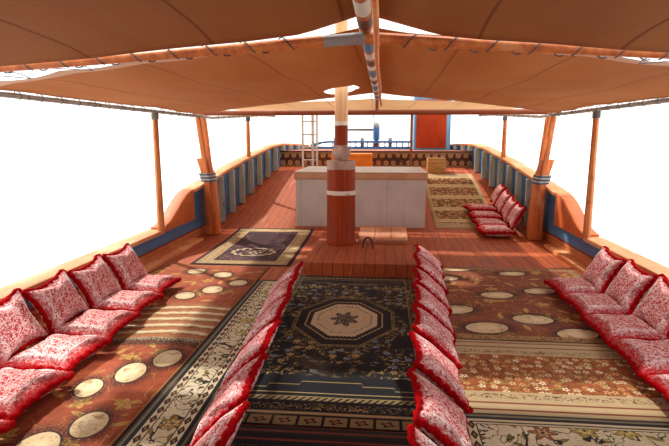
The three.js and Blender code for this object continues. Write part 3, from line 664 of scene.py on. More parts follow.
for side, sign in SIDES:
    turns = [round_posts(sign, 1.885 + k * 0.0135) for k in range(11)]
    tube("post_binding_" + side, turns, 0.0075, rope_wrap, closed=True)


# Platform, hatch and mast.
# A low platform of painted planks carries the mast's lower post, a turned trunk with a carved ball
# neck, and a sloping hatch lid of three panels with an iron ring beside it.
hatch_paint = Finish("hatch_panel_paint", Roughness=0.6)
hatch_wear = hatch_paint.noise(3.0, detail=6.0, rough=0.62)
panel_gap = (hatch_paint.y + 0.14).every(0.2533).ends(0.06, 0.035)
edge_gap = (hatch_paint.x.ramp(-2.9, -2.905) + hatch_paint.x.ramp(-2.31, -2.305)).least(1.0)
hatch_paint.paint(
    (hatch_wear.ramp(0.35, 0.65), "b06a4c", "d39b78"),
    (panel_gap.most(edge_gap) * 0.6, "8a4630"),
    rough=0.5 + hatch_wear * 0.3,
    height=hatch_wear * 0.3 - panel_gap, depth=0.006,
)
remade("hatch_cover", "hatch_lid", hatch_paint, 0.008, body="hatch_body")

post_paint = Finish("mast_post_paint", Roughness=0.42, Specular_IOR_Level=0.2)
check = post_paint.noise(6.0, (3.0, 3.0, 0.18), detail=5.0, rough=0.6)
chip = post_paint.noise(5.0, (1, 1, 0.8), detail=6.0, rough=0.6)
turned_ring = post_paint.z + chip * 0.05
post_paint.paint(
    (check.ramp(0.3, 0.7), "7c2600", "a43c02"),
    (check.ramp(0.7, 0.76) * 0.6, "4a1d10"),
    (post_paint.z.within(1.8, 1.862, 0.002), (chip.ramp(0.55, 0.65), "e2d6c6", "b58a70")),
    (turned_ring.ramp(2.2, 2.206), (chip.ramp(0.35, 0.65), "9b7c70", "c3a89c")),
    rough=0.35 + chip * 0.35,
    height=check * 0.6 + chip * 0.4, depth=0.004, strength=0.7,
)
MAST_X, MAST_Y = -2.27, -0.4


def turned(name, node, finish, steps, profile):
    """A round piece on the mast's axis, from its (radius, height) points upward."""
    bm = bmesh.new()
    spine = [bm.verts.new((MAST_X + r, MAST_Y, z)) for r, z in profile]
    edges = [bm.edges.new(pair) for pair in zip(spine, spine[1:])]
    bmesh.ops.spin(
        bm, geom=spine + edges, cent=(MAST_X, MAST_Y, 0), axis=(0, 0, 1), angle=2 * math.pi, steps=steps,
        use_merge=True, use_duplicate=False,
    )
    bmesh.ops.remove_doubles(bm, verts=bm.verts, dist=0.0002)
    bmesh.ops.recalc_face_normals(bm, faces=bm.faces)
    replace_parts(new_piece(name, bm, finish, smooth=50), node)


turned("turned_mast_post", "mast_post", post_paint, 48, [
    (0.0, 1.0504), (0.235, 1.0504), (0.235, 1.075), (0.228, 1.098), (0.2155, 1.115), (0.214, 1.79),
    (0.2155, 1.8), (0.2155, 1.862), (0.213, 1.872), (0.2135, 2.285), (0.2095, 2.302), (0.19, 2.31),
    (0.112, 2.311), (0.1, 2.318), (0.103, 2.336), (0.122, 2.36), (0.135, 2.392), (0.139, 2.425),
    (0.134, 2.458), (0.12, 2.484), (0.103, 2.502), (0.1, 2.514), (0.1, 2.5298), (0.0, 2.5298),
])

pole_paint = Finish("mast_paint", Roughness=0.45, Specular_IOR_Level=0.2)
pole_check = pole_paint.noise(6.0, (3.0, 3.0, 0.15), detail=5.0)
pole_chip = pole_paint.noise(4.0, (1, 1, 0.6), detail=5.0)
# Where the mast's colour changes, a little ragged: above a white painted band the mast is pale, which is
# painted sunlight through the awning's hole, and below the band it is brown, which is painted shade under
# the awning.
band_and_shade_height = pole_paint.z + pole_chip * 0.05
pole_paint.paint(
    (pole_check.ramp(0.3, 0.7), "dba877", "edc79d"),
    (pole_check.ramp(0.68, 0.75) * 0.4, "a8774f"),
    (band_and_shade_height.ramp(2.9, 2.896), "e6e0d6"),
    (band_and_shade_height.ramp(2.84, 2.836), (pole_check.ramp(0.3, 0.7), "762400", "9c3a02")),
    rough=0.35 + pole_chip * 0.3,
    height=pole_check, depth=0.003,
)
turned("turned_mast", "mast", pole_paint, 32, [
    (0.0, 2.5304), (0.098, 2.5304), (0.098, 3.37), (0.084, 5.1), (0.07, 6.79), (0.082, 6.803),
    (0.095, 6.812), (0.095, 6.93), (0.086, 6.955), (0.03, 6.995), (0.0, 6.9995),
])

rusty = Finish("rusted_iron", Roughness=0.7, Metallic=0.35)
rust = rusty.noise(14.0, detail=6.0, rough=0.65)
rusty.paint((rust.ramp(0.35, 0.65), "3a2f2b", "6d4630"), rough=0.5 + rust * 0.4, height=rust, depth=0.002)
cover(rusty, "forestay", "backstay")
ring_line = []
for k in range(15):
    turn = math.pi * k / 14
    ring_line.append((-1.93 + 0.006 * k, 0.02 - 0.075 * math.cos(turn), 1.056 + 0.16 * math.sin(turn)))
tube("mooring_ring", [ring_line], 0.014, rusty, sides=10)


# Engine casing.
# White painted boards nailed to a frame, with a tan beaded edge round the lid and a bluish white top.
# The diesel under it is one plain painted block.
casing_paint = Finish("casing_paint", Roughness=0.5)
casing_wear = casing_paint.noise(1.8, detail=6.0, rough=0.6)
streak = casing_paint.noise(5.0, (1.2, 1.2, 0.15), detail=4.0)
board_gap = (casing_paint.y + 1.3).every(0.803).ends(0.008, 0.004)
casing_paint.paint(
    (casing_wear.ramp(0.3, 0.7), "bdb3ad", "d6cdc7"),
    (streak.ramp(0.6, 0.72) * 0.3, "9c8f88"),
    (board_gap * 0.45, "6f655f"),
    (casing_paint.z.ramp(1.25, 1.0) * casing_wear.ramp(0.4, 0.6) * 0.4, "a0887a"),
    rough=0.4 + casing_wear * 0.3,
    height=streak * 0.2 - board_gap, depth=0.003,
)
remade("boarded_casing", "engine_casing", casing_paint, 0.006)
lid_paint = Finish("casing_lid_paint", Roughness=0.4)
lid_wear = lid_paint.noise(3.5, detail=6.0, rough=0.62)
lid_line = lid_paint.z.within(1.885, 1.897, 0.002) + lid_paint.z.within(1.985, 1.993, 0.002)
lid_paint.paint(
    (lid_wear.ramp(0.3, 0.7), "b8865f", "cf9f7a"),
    (lid_line * 0.5, "7d5138"),
    (lid_paint.z.ramp(2.004, 2.008), (lid_wear.ramp(0.35, 0.65), "b9c4cf", "d9e0e6")),
    rough=0.3 + lid_wear * 0.3,
    height=lid_wear * 0.3 - lid_line, depth=0.003,
)
remade("boarded_lid", "engine_lid", lid_paint, 0.008, body="engine_lid_body")
diesel = Finish("engine_enamel", Roughness=0.45)
oil_film = diesel.noise(5.0, detail=5.0)
diesel.paint((oil_film.ramp(0.4, 0.7), "4c5a55", "2e332f"), rough=0.3 + oil_film * 0.4, height=oil_film)
cover(diesel, "engine")


# Eave rails and stanchions.
# Grey steel pipe lies along both sides at head height, on orange wooden stanchions that stand on the
# caps and taper upwards; the two are lashed together.
EAVE_RISE = 0.18
RISE_FROM = -4.1
RISE_TO = -7.45


def eave_rise(x):
    """How much higher than amidships the rail lies at x."""
    return EAVE_RISE * min(1.0, max(0.0, (RISE_FROM - x) / (RISE_FROM - RISE_TO)))


rail_pipe = Finish("eave_pipe_and_stanchions", Roughness=0.5)
pipe_rust = rail_pipe.noise(8.0, detail=6.0, rough=0.62)
pole_grain = rail_pipe.noise(8.0, (2.5, 2.5, 0.3), detail=5.0)
rise = rail_pipe.x.ramp(RISE_FROM, RISE_TO) * EAVE_RISE
is_pole = (rail_pipe.z - rise).ramp(2.962, 2.96)
rail_pipe.paint(
    (pipe_rust.ramp(0.35, 0.6), "8d8f90", "a9a8a4"),
    (pipe_rust.ramp(0.6, 0.68), "7a5540"),
    (is_pole, (pole_grain.ramp(0.3, 0.7), "b0602f", "d98e55")),
    (is_pole * pipe_rust.ramp(0.6, 0.7) * 0.7, "7a4528"),
    rough=0.4 + pipe_rust * 0.4,
    height=pole_grain * 0.5 + pipe_rust * 0.5, depth=0.002,
)
for name in both("eave_rail"):
    remade("lashed_" + name, name, rail_pipe, flat=0.2, smooth=50)


def round_pole(x, y, z):
    """One turn of cord round a stanchion."""
    return ring(14, lambda a: (x + 0.045 * math.cos(a), y + 0.045 * math.sin(a), z + 0.004 * math.sin(a)))


rail_lashings = [
    round_pole(x, sign * y, 2.895 + k * 0.0125 + eave_rise(x))
    for sign in (1, -1)
    for x, y in ((3.3, 2.95), (-1.62, 2.95), (-6.2, 2.822))
    for k in range(7)
]
tube("stanchion_lashings", rail_lashings, 0.0065, cordage, closed=True)


# Spars.
# The ridge spar runs fore and aft over the cross spars, wrapped here and there with cloth and rope; a
# thinner pole lies along it. The cross spars taper from the middle and rest on the eave rails.
spar_wood = Finish("spar_wood", Roughness=0.5)
spar_grain = spar_wood.noise(8.0, (0.5, 2.5, 2.5), detail=6.0, rough=0.62)
spar_wear = spar_wood.noise(2.4, detail=6.0, rough=0.6)
patch = spar_wood.y.within(-0.15, 0.10, 0.01) * spar_wood.x.within(2.1, 2.3)
spar_wood.paint(
    (spar_grain.ramp(0.3, 0.7), "a24d1e", "cc7a3e"),
    (spar_wear.ramp(0.58, 0.68) * 0.6, "d9a577"),
    (spar_grain.ramp(0.7, 0.75) * 0.5, "53270f"),
    (spar_wood.x.ramp(-3.0, -3.2) * 0.75, "74290c"),
    (patch * spar_wear.ramp(0.3, 0.46) * 0.8, "7b8c98"),
    rough=0.4 + spar_wear * 0.3,
    height=spar_grain, depth=0.003,
)
ridge_wood = Finish("wrapped_ridge_spar", Roughness=0.6)
ridge_grain = ridge_wood.noise(8.0, (0.4, 3.0, 3.0), detail=5.0)
band = (ridge_wood.x + 0.04 * ridge_wood.noise(1.5, detail=1.0) + 0.21).every(1.6)
turn_line = (ridge_wood.x + ridge_wood.y * 0.25).every(0.022)
ridge_wood.paint(
    (ridge_grain.ramp(0.3, 0.7), "9c4a1f", "c5743c"),
    (band.within(0.0, 0.25, 0.002), "4a6f96"),
    (band.within(0.31, 0.47, 0.002), "d6d3ca"),
    (band.within(0.53, 0.69, 0.002), "5a3220"),
    (band.within(0.75, 0.94, 0.002), "c9c6bd"),
    (turn_line.ramp(0.2, 0.1) * 0.5, "3b2a22"),
    rough=0.5 + ridge_grain * 0.3,
    height=turn_line * 0.6 + ridge_grain * 0.4, depth=0.0015,
)
for name in ("cross_spar", "fore_beam", "after_beam"):
    remade("round_" + name, name, spar_wood, flat=0.2, smooth=50)
remade("wrapped_ridge", "ridge_spar", ridge_wood, flat=0.2, smooth=50)
thin_pole = [
    (7.6 - 11.2 * k / 40, 0.172 + 0.006 * math.sin(k * 0.5), 3.176 + 0.004 * math.sin(k * 0.9))
    for k in range(41)
]
tube("thin_ridge_pole", [thin_pole], 0.016, post_wood, sides=10)


# Awnings.
# Three cloths of heavy brown canvas, sewn from narrow fore-and-aft breadths, thrown over the ridge spar
# and laced down to the eave rails, so that their edges scallop between the lashings.
RIDGE_Y = 0.1
BREADTH = 0.8


def canvas_finish(name, dark, light, glow, hem=0.0):
    """Canvas that lets some of the sun's light through. hem is how pale its fore edge is outboard."""
    canvas = Finish(name, Roughness=0.85)
    breadth = (canvas.y + (canvas.x * 0.7).sin() * 0.03) / BREADTH
    seam = abs(breadth - breadth.floor() - 0.5).ramp(0.484, 0.492)
    weave = canvas.noise(60.0, (1.0, 1.0, 0.2), detail=2.0)
    stain = canvas.noise(0.8, (0.5, 1.6, 1.0), detail=5.0, rough=0.6)
    fold = canvas.noise(2.2, (0.35, 1.6, 1.0), detail=3.0)
    crease = abs(canvas.noise(1.1, (0.3, 1.0, 1.0), detail=2.0, warp=0.8) - 0.5).ramp(0.02, 0.0)
    canvas.paint(
        (stain.ramp(0.3, 0.7), dark, light),
        (weave.ramp(0.5, 0.75) * 0.15, "6f4a26"),
        (crease * 0.25, light),
        (seam * 0.8, "4a2814"),
        (abs(canvas.y - RIDGE_Y).ramp(0.5, 0.0) * 0.25, "6d4424"),
        (hem * canvas.x.within(1.54, 1.85, 0.02) * abs(canvas.y).ramp(0.6, 1.2), "d9d2c4"),
        rough=0.8 + weave * 0.15,
        height=weave * 0.2 + fold * 1.2 + seam * 0.5 + crease * 0.3, depth=0.006,
    )
    through = canvas.node("ShaderNodeBsdfTranslucent", None, {"Color": glow})
    joined = canvas.node("ShaderNodeMixShader", None, {0: 0.4})
    canvas.tree.links.new(canvas.shader.outputs[0], joined.socket.node.inputs[1])
    canvas.tree.links.new(through.socket, joined.socket.node.inputs[2])
    canvas.tree.links.new(joined.socket, canvas.tree.nodes["Material Output"].inputs["Surface"])
    return canvas


SPAR_X = 2.2
SPAR_HEIGHT, SPAR_FALL = 3.2424, 0.0659
LACE_PITCH = 0.6
SAG = 0.035
BREADTH_SAG = 0.02


def spar_axis(y):
    """The height of the cross spar's middle line, which falls away from the ridge."""
    return SPAR_HEIGHT - SPAR_FALL * abs(y)


def eave_y(x):
    """How far out the eave rail lies at x."""
    return min(2.95, hull_at(x)[1] - 0.11)


def thicken(cloth, thickness):
    """Gives a cloth its thickness, half to each side."""
    thick = cloth.modifiers.new("thickness", "SOLIDIFY")
    thick.thickness = thickness
    thick.offset = 0.0


def awning(name, node, ends, ridge_z, edge_z, supports, finish, hole=None, on_spar=False, droop=0.0):
    """One cloth from the starboard eave over the ridge to the port eave, slack between its supports.
    on_spar lays its aft edge on the cross spar, hole is the gap for the mast, and droop is how far
    its fore edge hangs down outboard."""
    aft, fore = ends
    bm = bmesh.new()
    bmesh.ops.create_grid(bm, x_segments=64, y_segments=60, size=0.5)
    for vertex in bm.verts:
        s = vertex.co.x + 0.5
        t = vertex.co.y * 2
        x = aft + s * (fore - aft)
        share = abs(t)
        reach = eave_y(x) + 0.03
        lace = abs(math.sin(math.pi * (x - aft) / LACE_PITCH))
        near_end = max(0.0, 1 - min(s, 1 - s) * (fore - aft) / 0.35)
        end_lace = abs(math.sin(math.pi * t * 5.5))
        scallop = 0.012 if on_spar and s < 0.5 else 0.03 + 0.07 * end_lace * share ** 0.3
        x += (-1 if s > 0.5 else 1) * near_end ** 2 * scallop
        y = RIDGE_Y + t * (reach - math.copysign(RIDGE_Y, t)) - math.copysign(0.05 * lace * share ** 12, t)
        z = ridge_z - (ridge_z - edge_z) * (0.7 * share + 0.3 * share ** 2)
        slack = min(1.0, min(abs(x - support) for support in supports) / 1.6)
        z -= SAG * slack * math.sin(math.pi * share)
        z -= BREADTH_SAG * slack * abs(math.sin(math.pi * y / BREADTH))
        z += 0.012 * noise.noise(Vector((x * 1.1, y * 1.4, 0.3)))
        z += 0.02 * (1 - share) ** 8
        if on_spar:
            wrap = min(1.0, max(0.0, (abs(y) - 1.0) / 0.7))
            lie = min(1.0, max(0.0, (abs(y - RIDGE_Y) - 0.4) / 0.3))
            angle = math.radians(38 * lie + 42 * wrap * wrap * (3 - 2 * wrap))
            radius = 0.037 - 0.00644 * abs(y)
            front = SPAR_X + (radius + 0.007) * math.sin(angle) + 0.01
            over = spar_axis(y) + (radius + 0.006 - 0.008 * lie) * math.cos(angle)
            near_spar = max(0.0, 1 - s * (fore - aft) / 0.5) ** 2
            x += (front - aft) * near_spar * lie
            peak = ridge_z - (ridge_z - 3.232) * abs(y - RIDGE_Y) / 0.5
            held = max(0.0, 1 - s * (fore - aft) / 0.9) ** 2
            z += (max(over, peak) - z) * held
        if droop and s > 0.5:
            near = max(0.0, 1 - (fore - x) / 0.8) ** 2
            z -= near * droop * share ** 0.7 * (0.65 + 0.5 * end_lace)
        vertex.co = Vector((x, y, z))
    if hole:
        middle_x, middle_y, half_x, half_y = hole

        def off(place):
            return (place.x - middle_x) / half_x, (place.y - middle_y) / half_y

        cut = [f for f in bm.faces if max(map(abs, off(f.calc_center_median()))) < 1]
        bmesh.ops.delete(bm, geom=cut, context="FACES")
        for vertex in bm.verts:
            off_x, off_y = off(vertex.co)
            if vertex.is_boundary and max(abs(off_x), abs(off_y)) < 1.4:
                turn = math.atan2(off_y, off_x)
                vertex.co.x = middle_x + half_x * math.cos(turn)
                vertex.co.y = middle_y + half_y * math.sin(turn)
    area = sum(f.calc_area() for f in bm.faces)
    cloth = new_piece(name, bm, finish, smooth=180)
    thicken(cloth, 0.003)
    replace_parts(cloth, node)


brown_canvas = canvas_finish("awning_canvas", "96602a", "b58244", "b47430", hem=0.85)
near_canvas = canvas_finish("fore_awning_canvas", "8a5730", "a3703f", "94602f")
pale_canvas = canvas_finish("bleached_canvas", "cfa880", "e6cdb0", "f0d8b8")
FORE_ENDS, MIDDLE_ENDS, AFT_ENDS = (2.215, 7.44), (-3.67, 1.79), (-8.29, -3.85)
RIDGE_TOP, EAVE_TOP = 3.376, 3.05
mast_gap = (-2.31, -0.4, 0.41, 0.26)
awning(
    "fore_awning", "awning_fore", FORE_ENDS, RIDGE_TOP, EAVE_TOP, (2.29, 3.3, 7.3), near_canvas,
    on_spar=True,
)
awning(
    "middle_awning", "awning_middle", MIDDLE_ENDS, RIDGE_TOP, EAVE_TOP, (-3.7, -1.62, 1.79),
    brown_canvas, mast_gap, droop=0.055,
)
awning("aft_awning", "awning_aft", AFT_ENDS, 3.296, 3.224, (-8.3, -6.9, -6.2, -3.84), pale_canvas)


def eyelet(x, sign):
    """One loop of the lacing, through the cloth's edge and round the eave rail."""
    y, z = eave_y(x), 3.008 + eave_rise(x)
    return ring(
        12, lambda a: (x + 0.02 * math.sin(a), sign * (y + 0.031 * math.cos(a)), z + 0.034 * math.sin(a))
    )


eyelets = []
for aft, fore in ((2.29, FORE_ENDS[1]), MIDDLE_ENDS, AFT_ENDS):
    for k in range(1, int((fore - aft) / (LACE_PITCH / 2))):
        eyelets += [eyelet(aft + k * LACE_PITCH / 2, sign) for sign in (1, -1)]
tube("eave_lacing", eyelets, 0.004, cordage, closed=True)
spiral, ties = [], []
for sign in (1, -1):
    for k in range(11):
        points = []
        for j in range(17):
            a = 2 * math.pi * j / 16 - 1.2
            y = 0.33 + k * 0.245 + 0.2 * j / 16
            reach = 0.0395 - 0.0064 * y + (0.003 if 2 < j < 14 else 0.008)
            z = spar_axis(y)
            points.append((SPAR_X + reach * math.cos(a), sign * y, z + reach * math.sin(a)))
        spiral.append(points)
        if k > 3 and k % 2:
            out = y + 0.16
            low = RIDGE_TOP - (RIDGE_TOP - EAVE_TOP) * y / 2.98 - 0.05
            hem = (1.72, sign * out, low)
            ties.append([(2.17, sign * y, z - 0.02), (1.95, sign * (y + out) / 2, (z + low) / 2), hem])
            ties.append([hem, (2.17, sign * (y + 0.25), z - 0.03)])
tarred = Finish("tarred_cord", Roughness=0.8)
tar = tarred.noise(20.0, detail=2.0)
tarred.paint((tar, "23272f", "4c535f"), height=tar, depth=0.001)
tube("cross_spar_lacing", spiral, 0.004, tarred)
tube("awning_ties", ties, 0.003, tarred)


# Stern frame and ladder.
# A frame of two posts and a bar holds up the after awning. A white ladder leans on its starboard end.
ladder_paint = Finish("ladder_and_frame_paint", Roughness=0.5)
ladder_wear = ladder_paint.noise(6.0, detail=6.0, rough=0.62)
port_post = ladder_paint.y.ramp(0.79, 0.8)
ladder_paint.paint(
    (ladder_wear.ramp(0.3, 0.7), "c9c5bd", "e9e6e0"),
    (ladder_wear.ramp(0.62, 0.68) * 0.8, "8a6a52"),
    (port_post, (ladder_wear.ramp(0.35, 0.65), "8a4a26", "b87145")),
    rough=0.4 + ladder_wear * 0.35,
    height=ladder_wear, depth=0.002,
)
for name in ("stern_frame", "ladder"):
    remade("painted_" + name, name, ladder_paint, flat=0.2, smooth=50)


# Cabin on the port quarter.
# A narrow boarded cabin in light blue, with an orange-red door hung on its port side. The boards stand
# upright, and the paint is chipped along their edges.
cabin_paint = Finish("cabin_paint", Roughness=0.5)
cabin_wear = cabin_paint.noise(3.0, (1, 1, 0.5), detail=6.0, rough=0.62)
cabin_line = (cabin_paint.y + cabin_paint.x).every(0.16).ends(0.05, 0.02)
cabin_paint.paint(
    (cabin_wear.ramp(0.3, 0.7), "4b86b5", "7fb0d0"),
    (cabin_line * 0.5, "2c557a"),
    (cabin_wear.ramp(0.64, 0.7), "a88a6c"),
    rough=0.4 + cabin_wear * 0.35,
    height=cabin_wear * 0.3 - cabin_line, depth=0.003,
)
remade("boarded_cabin", "cabin", cabin_paint, 0.008)
door_paint = Finish("door_paint", Roughness=0.5, Specular_IOR_Level=0.2)
door_wear = door_paint.noise(3.2, (1, 1, 0.6), detail=6.0, rough=0.6)
door_paint.paint(
    (door_wear.ramp(0.3, 0.7), "8a2400", "aa3602"),
    (door_wear.ramp(0.66, 0.72) * 0.7, "7a4a33"),
    rough=0.35 + door_wear * 0.3,
    height=door_wear, depth=0.002,
)
remade("hung_door", "cabin_door", door_paint, 0.005, body="door_body")


# Chests.
# An orange painted locker with a lid and a small box of plain boards stand on the after deck against the
# stern platform.
locker_paint = Finish("locker_paint", Roughness=0.35)
locker_wear = locker_paint.noise(4.0, detail=5.0, rough=0.6)
locker_edge = locker_paint.z.within(2.14, 2.152, 0.002)
locker_paint.paint(
    (locker_wear.ramp(0.3, 0.7), "ec7600", "ff980c"),
    (locker_edge * 0.7, "8d4508"),
    (locker_wear.ramp(0.68, 0.74), "a9713f"),
    rough=0.3 + locker_wear * 0.25,
    height=locker_wear * 0.3 - locker_edge, depth=0.003,
)
remade("orange_locker", "orange_chest", locker_paint, 0.015, smooth=35)
box_wood = Finish("wooden_box_boards", Roughness=0.6)
box_grain = box_wood.noise(9.0, (3.0, 0.4, 3.0), detail=5.0)
box_line = (box_wood.z - 1.7).every(0.14).ends(0.06, 0.03)
box_wood.paint(
    (box_grain.ramp(0.3, 0.7), "a8763f", "cf9e60"),
    (box_line * 0.6, "4f3118"),
    rough=0.5 + box_grain * 0.2,
    height=box_grain * 0.3 - box_line, depth=0.003,
)
remade("boarded_box", "wooden_box", box_wood, 0.006, smooth=35)


# Rudder.
# A broad plank blade on a round stock that rises behind the transom; its head is blue with a grey top
# and carries the yoke arm that the steering lines pull.
rudder_paint = Finish("rudder_paint", Roughness=0.5)
rudder_wear = rudder_paint.noise(2.6, detail=6.0, rough=0.62)
rudder_grain = rudder_paint.noise(7.0, (3.0, 3.0, 0.4), detail=5.0)
arm_side = rudder_paint.y.ramp(-0.115, -0.125) * rudder_paint.z.ramp(2.5, 2.6)
rudder_paint.paint(
    (rudder_grain.ramp(0.3, 0.7), "6d3f20", "9a6238"),
    (rudder_paint.z.ramp(1.6, 1.605), (rudder_wear.ramp(0.3, 0.7), "255a94", "4480b4")),
    (rudder_paint.z.ramp(2.94, 2.95), "8a8d90"),
    (arm_side, "463026"),
    *at_waterline(rudder_paint.z, (rudder_wear.ramp(0.35, 0.65), "65281e", "803626")),
    rough=0.4 + rudder_wear * 0.35,
    height=rudder_grain, depth=0.003,
)
remade("hung_rudder", "rudder", rudder_paint, 0.008, body="rudder_body", smooth=40)


# Propeller.
# A three-bladed cast bronze propeller on its shaft under the stern, dulled and stained green by the
# water.
cast = Finish("cast_bronze", Roughness=0.35, Metallic=1.0)
stain = cast.noise(9.0, detail=6.0, rough=0.62)
cast.paint((stain.ramp(0.4, 0.7), "b08a4c", "5f6b50"), rough=0.25 + stain * 0.45, height=stain, depth=0.002)
cover(cast, "propeller")


# Carpets.
# Machine-woven wool carpets of several common floral designs cover the deck edge to edge, some laid as
# runners. Each lies flat on the planks, a little rippled where people have trodden it.
class Rug(Finish):
    """A carpet's finish on its own map, in metres from its middle: u along the boat and v across it."""

    def __init__(self, name, half_long, half_wide):
        super().__init__(name, Roughness=0.95)
        self.u, self.v, _ = self.split(self.node("ShaderNodeUVMap", {"uv_map": "cloth"}))
        self.flat = self.joined(self.u, self.v)
        self.end = half_long - abs(self.u)
        self.side = half_wide - abs(self.v)
        self.edge = self.end.least(self.side)
        self.wear = self.noise(1.7, detail=6.0, rough=0.6, spot=self.flat)
        self.speck = self.noise(70.0, detail=2.0, spot=self.flat)
        self.pile = self.noise(220.0, detail=2.0, spot=self.flat)

    def bearing(self, a, b):
        return self.node("ShaderNodeMath", {"operation": "ARCTAN2"}, {0: b, 1: a})

    def curls(self, scale, width, warp=1.2, shift=0.0):
        """Thin curling stems: the level lines of a smooth field."""
        moved = self.joined(self.u + shift, self.v)
        field = self.noise(scale, detail=1.0, warp=warp, spot=moved)
        return abs(field - 0.5).ramp(width, width * 0.6)

    def flower(self, a, b, radius, petals, depth=0.2, turn=0.0):
        """Less than 1 inside a flower with that many petals."""
        swing = (self.bearing(a, b) * petals + turn).sin()
        return (a * a + b * b) ** 0.5 / (swing * (radius * depth) + radius * (1 - depth))

    def scattered(self, size, spread=0.8, shift=0.0):
        """Scattered places: one's own coordinates (a, b) from the nearest of them, and its lot, 0 to 1."""
        spot = self.joined(self.u + shift, self.v)
        values = {"Vector": spot, "Scale": 1 / size, "Randomness": spread}
        cells = self.node("ShaderNodeTexVoronoi", {"voronoi_dimensions": "2D"}, values)
        outlets = cells.socket.node.outputs
        x, y, _ = self.split(Wire(self, outlets["Position"]))
        lot, twist, _ = self.split(Wire(self, outlets["Color"]))
        return self.u + shift - x, self.v - y, lot, twist

    def blooms(self, size, radius, petals, share, spread=0.8, shift=0.0):
        """Scattered flowers: how near their outline, 1 on it, and 1 where there is one at all."""
        a, b, lot, twist = self.scattered(size, spread, shift)
        field = self.flower(a, b, radius, petals, 0.24, twist * 6.3)
        return field, 1 - lot.ramp(1 - share, 0.99 - share), lot

    def leaves(self, size, long, wide, share, shift=0.0):
        """Scattered pointed leaves."""
        a, b, lot, twist = self.scattered(size, 0.9, shift)
        bend = twist * 6.3
        along = a * (bend + 1.571).sin() + b * bend.sin()
        over = b * (bend + 1.571).sin() - a * bend.sin()
        slim = abs(over) / wide + (along / long) * (along / long)
        return slim.ramp(1.0, 0.9) * (1 - lot.ramp(share, share + 0.01))

    def oval(self, u, v, long, wide, turn):
        """Less than 1 inside an oval at (u, v)."""
        a, b = self.u - u, self.v - v
        along = (a * math.cos(turn) + b * math.sin(turn)) / long
        over = (b * math.cos(turn) - a * math.sin(turn)) / wide
        return (along * along + over * over) ** 0.5

    def woven(self, base, *coats):
        """The design's coats under wear and pile."""
        self.paint(
            base,
            *coats,
            (self.wear.ramp(0.58, 0.8) * 0.25, "b09a80"),
            (self.pile.ramp(0.5, 0.2) * 0.25, "1e1614"),
            height=self.pile * 0.7 + self.wear * 0.6, strength=0.5,
        )
        return self


def medallion_rug(half_long, half_wide, middle):
    """Navy, with an octagonal medallion, gold and grey-blue sprays and banded ends."""
    rug = Rug("navy_medallion_wool", half_long, half_wide)
    u, v = rug.u - middle, rug.v
    cloudy = rug.noise(2.6, detail=3.0, spot=rug.flat)
    field, there, lot = rug.blooms(0.13, 0.035, 6.0, 0.75)
    small, small_there, small_lot = rug.blooms(0.07, 0.016, 5.0, 0.6, shift=5.0)
    octagon = (abs(u) / 0.52).most(abs(v) / 0.37).most((abs(u) / 0.52 + abs(v) / 0.37) / 1.36)
    jagged = octagon + abs(((rug.bearing(u, v * 1.4) * 9.0) % 1.0) - 0.5) * 0.07
    heart = rug.flower(u, v * 1.45, 0.21, 7.0, 0.2)
    sprays = octagon.within(1.3, 2.3, 0.12) * cloudy.ramp(0.42, 0.5)
    corner = (abs(v).ramp(0.3, 0.38) * abs(abs(u) - 0.95).ramp(0.3, 0.18)).most(sprays)
    step = ((abs(v) - 0.22).ramp(-0.004, 0.004) + (abs(v) - 0.45).ramp(-0.004, 0.004)) * 0.05
    far = u.ramp(0.1, -0.1) * 0.12
    end = abs(u) + far
    rope = (v + end * 0.8).every(0.05)
    block = v.every(0.16)
    chain = rug.flower((v % 0.16) - 0.08, (end - 1.85) * 1.4, 0.05, 4.0, 0.25)
    row = end.within(1.80, 1.90)
    sprigs = abs(end - 1.17).ramp(0.07, 0.05) * rug.side.within(0.1, 0.42, 0.03)
    return rug.woven(
        (cloudy.ramp(0.4, 0.6), "0f1218", "161a23"),
        (rug.curls(8.0, 0.012) * corner * 0.8, "9c8650"),
        (rug.leaves(0.06, 0.03, 0.009, 0.7) * corner, "a08a52"),
        (field.ramp(1.05, 0.95) * there * corner, (lot.ramp(0.5, 0.55), "c2a468", "8295ab")),
        (field.ramp(0.4, 0.3) * there * corner, "5c4a30"),
        (octagon.within(1.22, 1.235, 0.004) + octagon.within(1.29, 1.30, 0.003), "a58f5c"),
        (octagon.within(1.235, 1.29, 0.004) * rug.curls(26.0, 0.05), "8d7a50"),
        (octagon.ramp(1.0, 0.995), "b29c70"),
        (jagged.ramp(0.985, 0.975), "14171f"),
        (jagged.ramp(0.87, 0.86), "cfc2a0"),
        (octagon.within(0.66, 0.72, 0.005) * rug.curls(30.0, 0.06), "4d4432"),
        (octagon.ramp(0.64, 0.635) * rug.curls(22.0, 0.02), "a89468"),
        (heart.ramp(1.02, 0.97) * rug.speck.ramp(0.38, 0.46), "1f2224"),
        (heart.ramp(1.0, 0.97) * small.ramp(1.3, 1.1) * small_there, (small_lot, "7b4f3a", "93a0a8")),
        (sprigs * rug.leaves(0.055, 0.03, 0.009, 0.9, 2.0), "b0a072"),
        ((end - step).within(1.32, 1.33), "a5925f"),
        (end.ramp(1.475, 1.48), "10131a"),
        (end.within(1.49, 1.5) + end.within(1.545, 1.552), "b3a06c"),
        (end.within(1.555, 1.6) * rope.ramp(0.62, 0.5), "9c8a5c"),
        (end.within(1.64, 1.72) * rug.curls(22.0, 0.03), "b09c6a"),
        (end.within(1.745, 1.775), "b59d70"),
        (row * block.within(0.06, 0.94, 0.01), "8f7a4e"),
        (row * chain.ramp(1.0, 0.9), "1a2638"),
        (row * chain.ramp(0.5, 0.4), "b5683f"),
        (end.within(1.925, 1.932) + end.within(1.955, 1.962), "9c8a5c"),
        (rug.side.within(0.03, 0.04) + rug.side.within(0.095, 0.102), "a58f5c"),
        (rug.side.within(0.045, 0.09) * rug.curls(24.0, 0.04) * end.ramp(1.48, 1.46), "94814f"),
    )


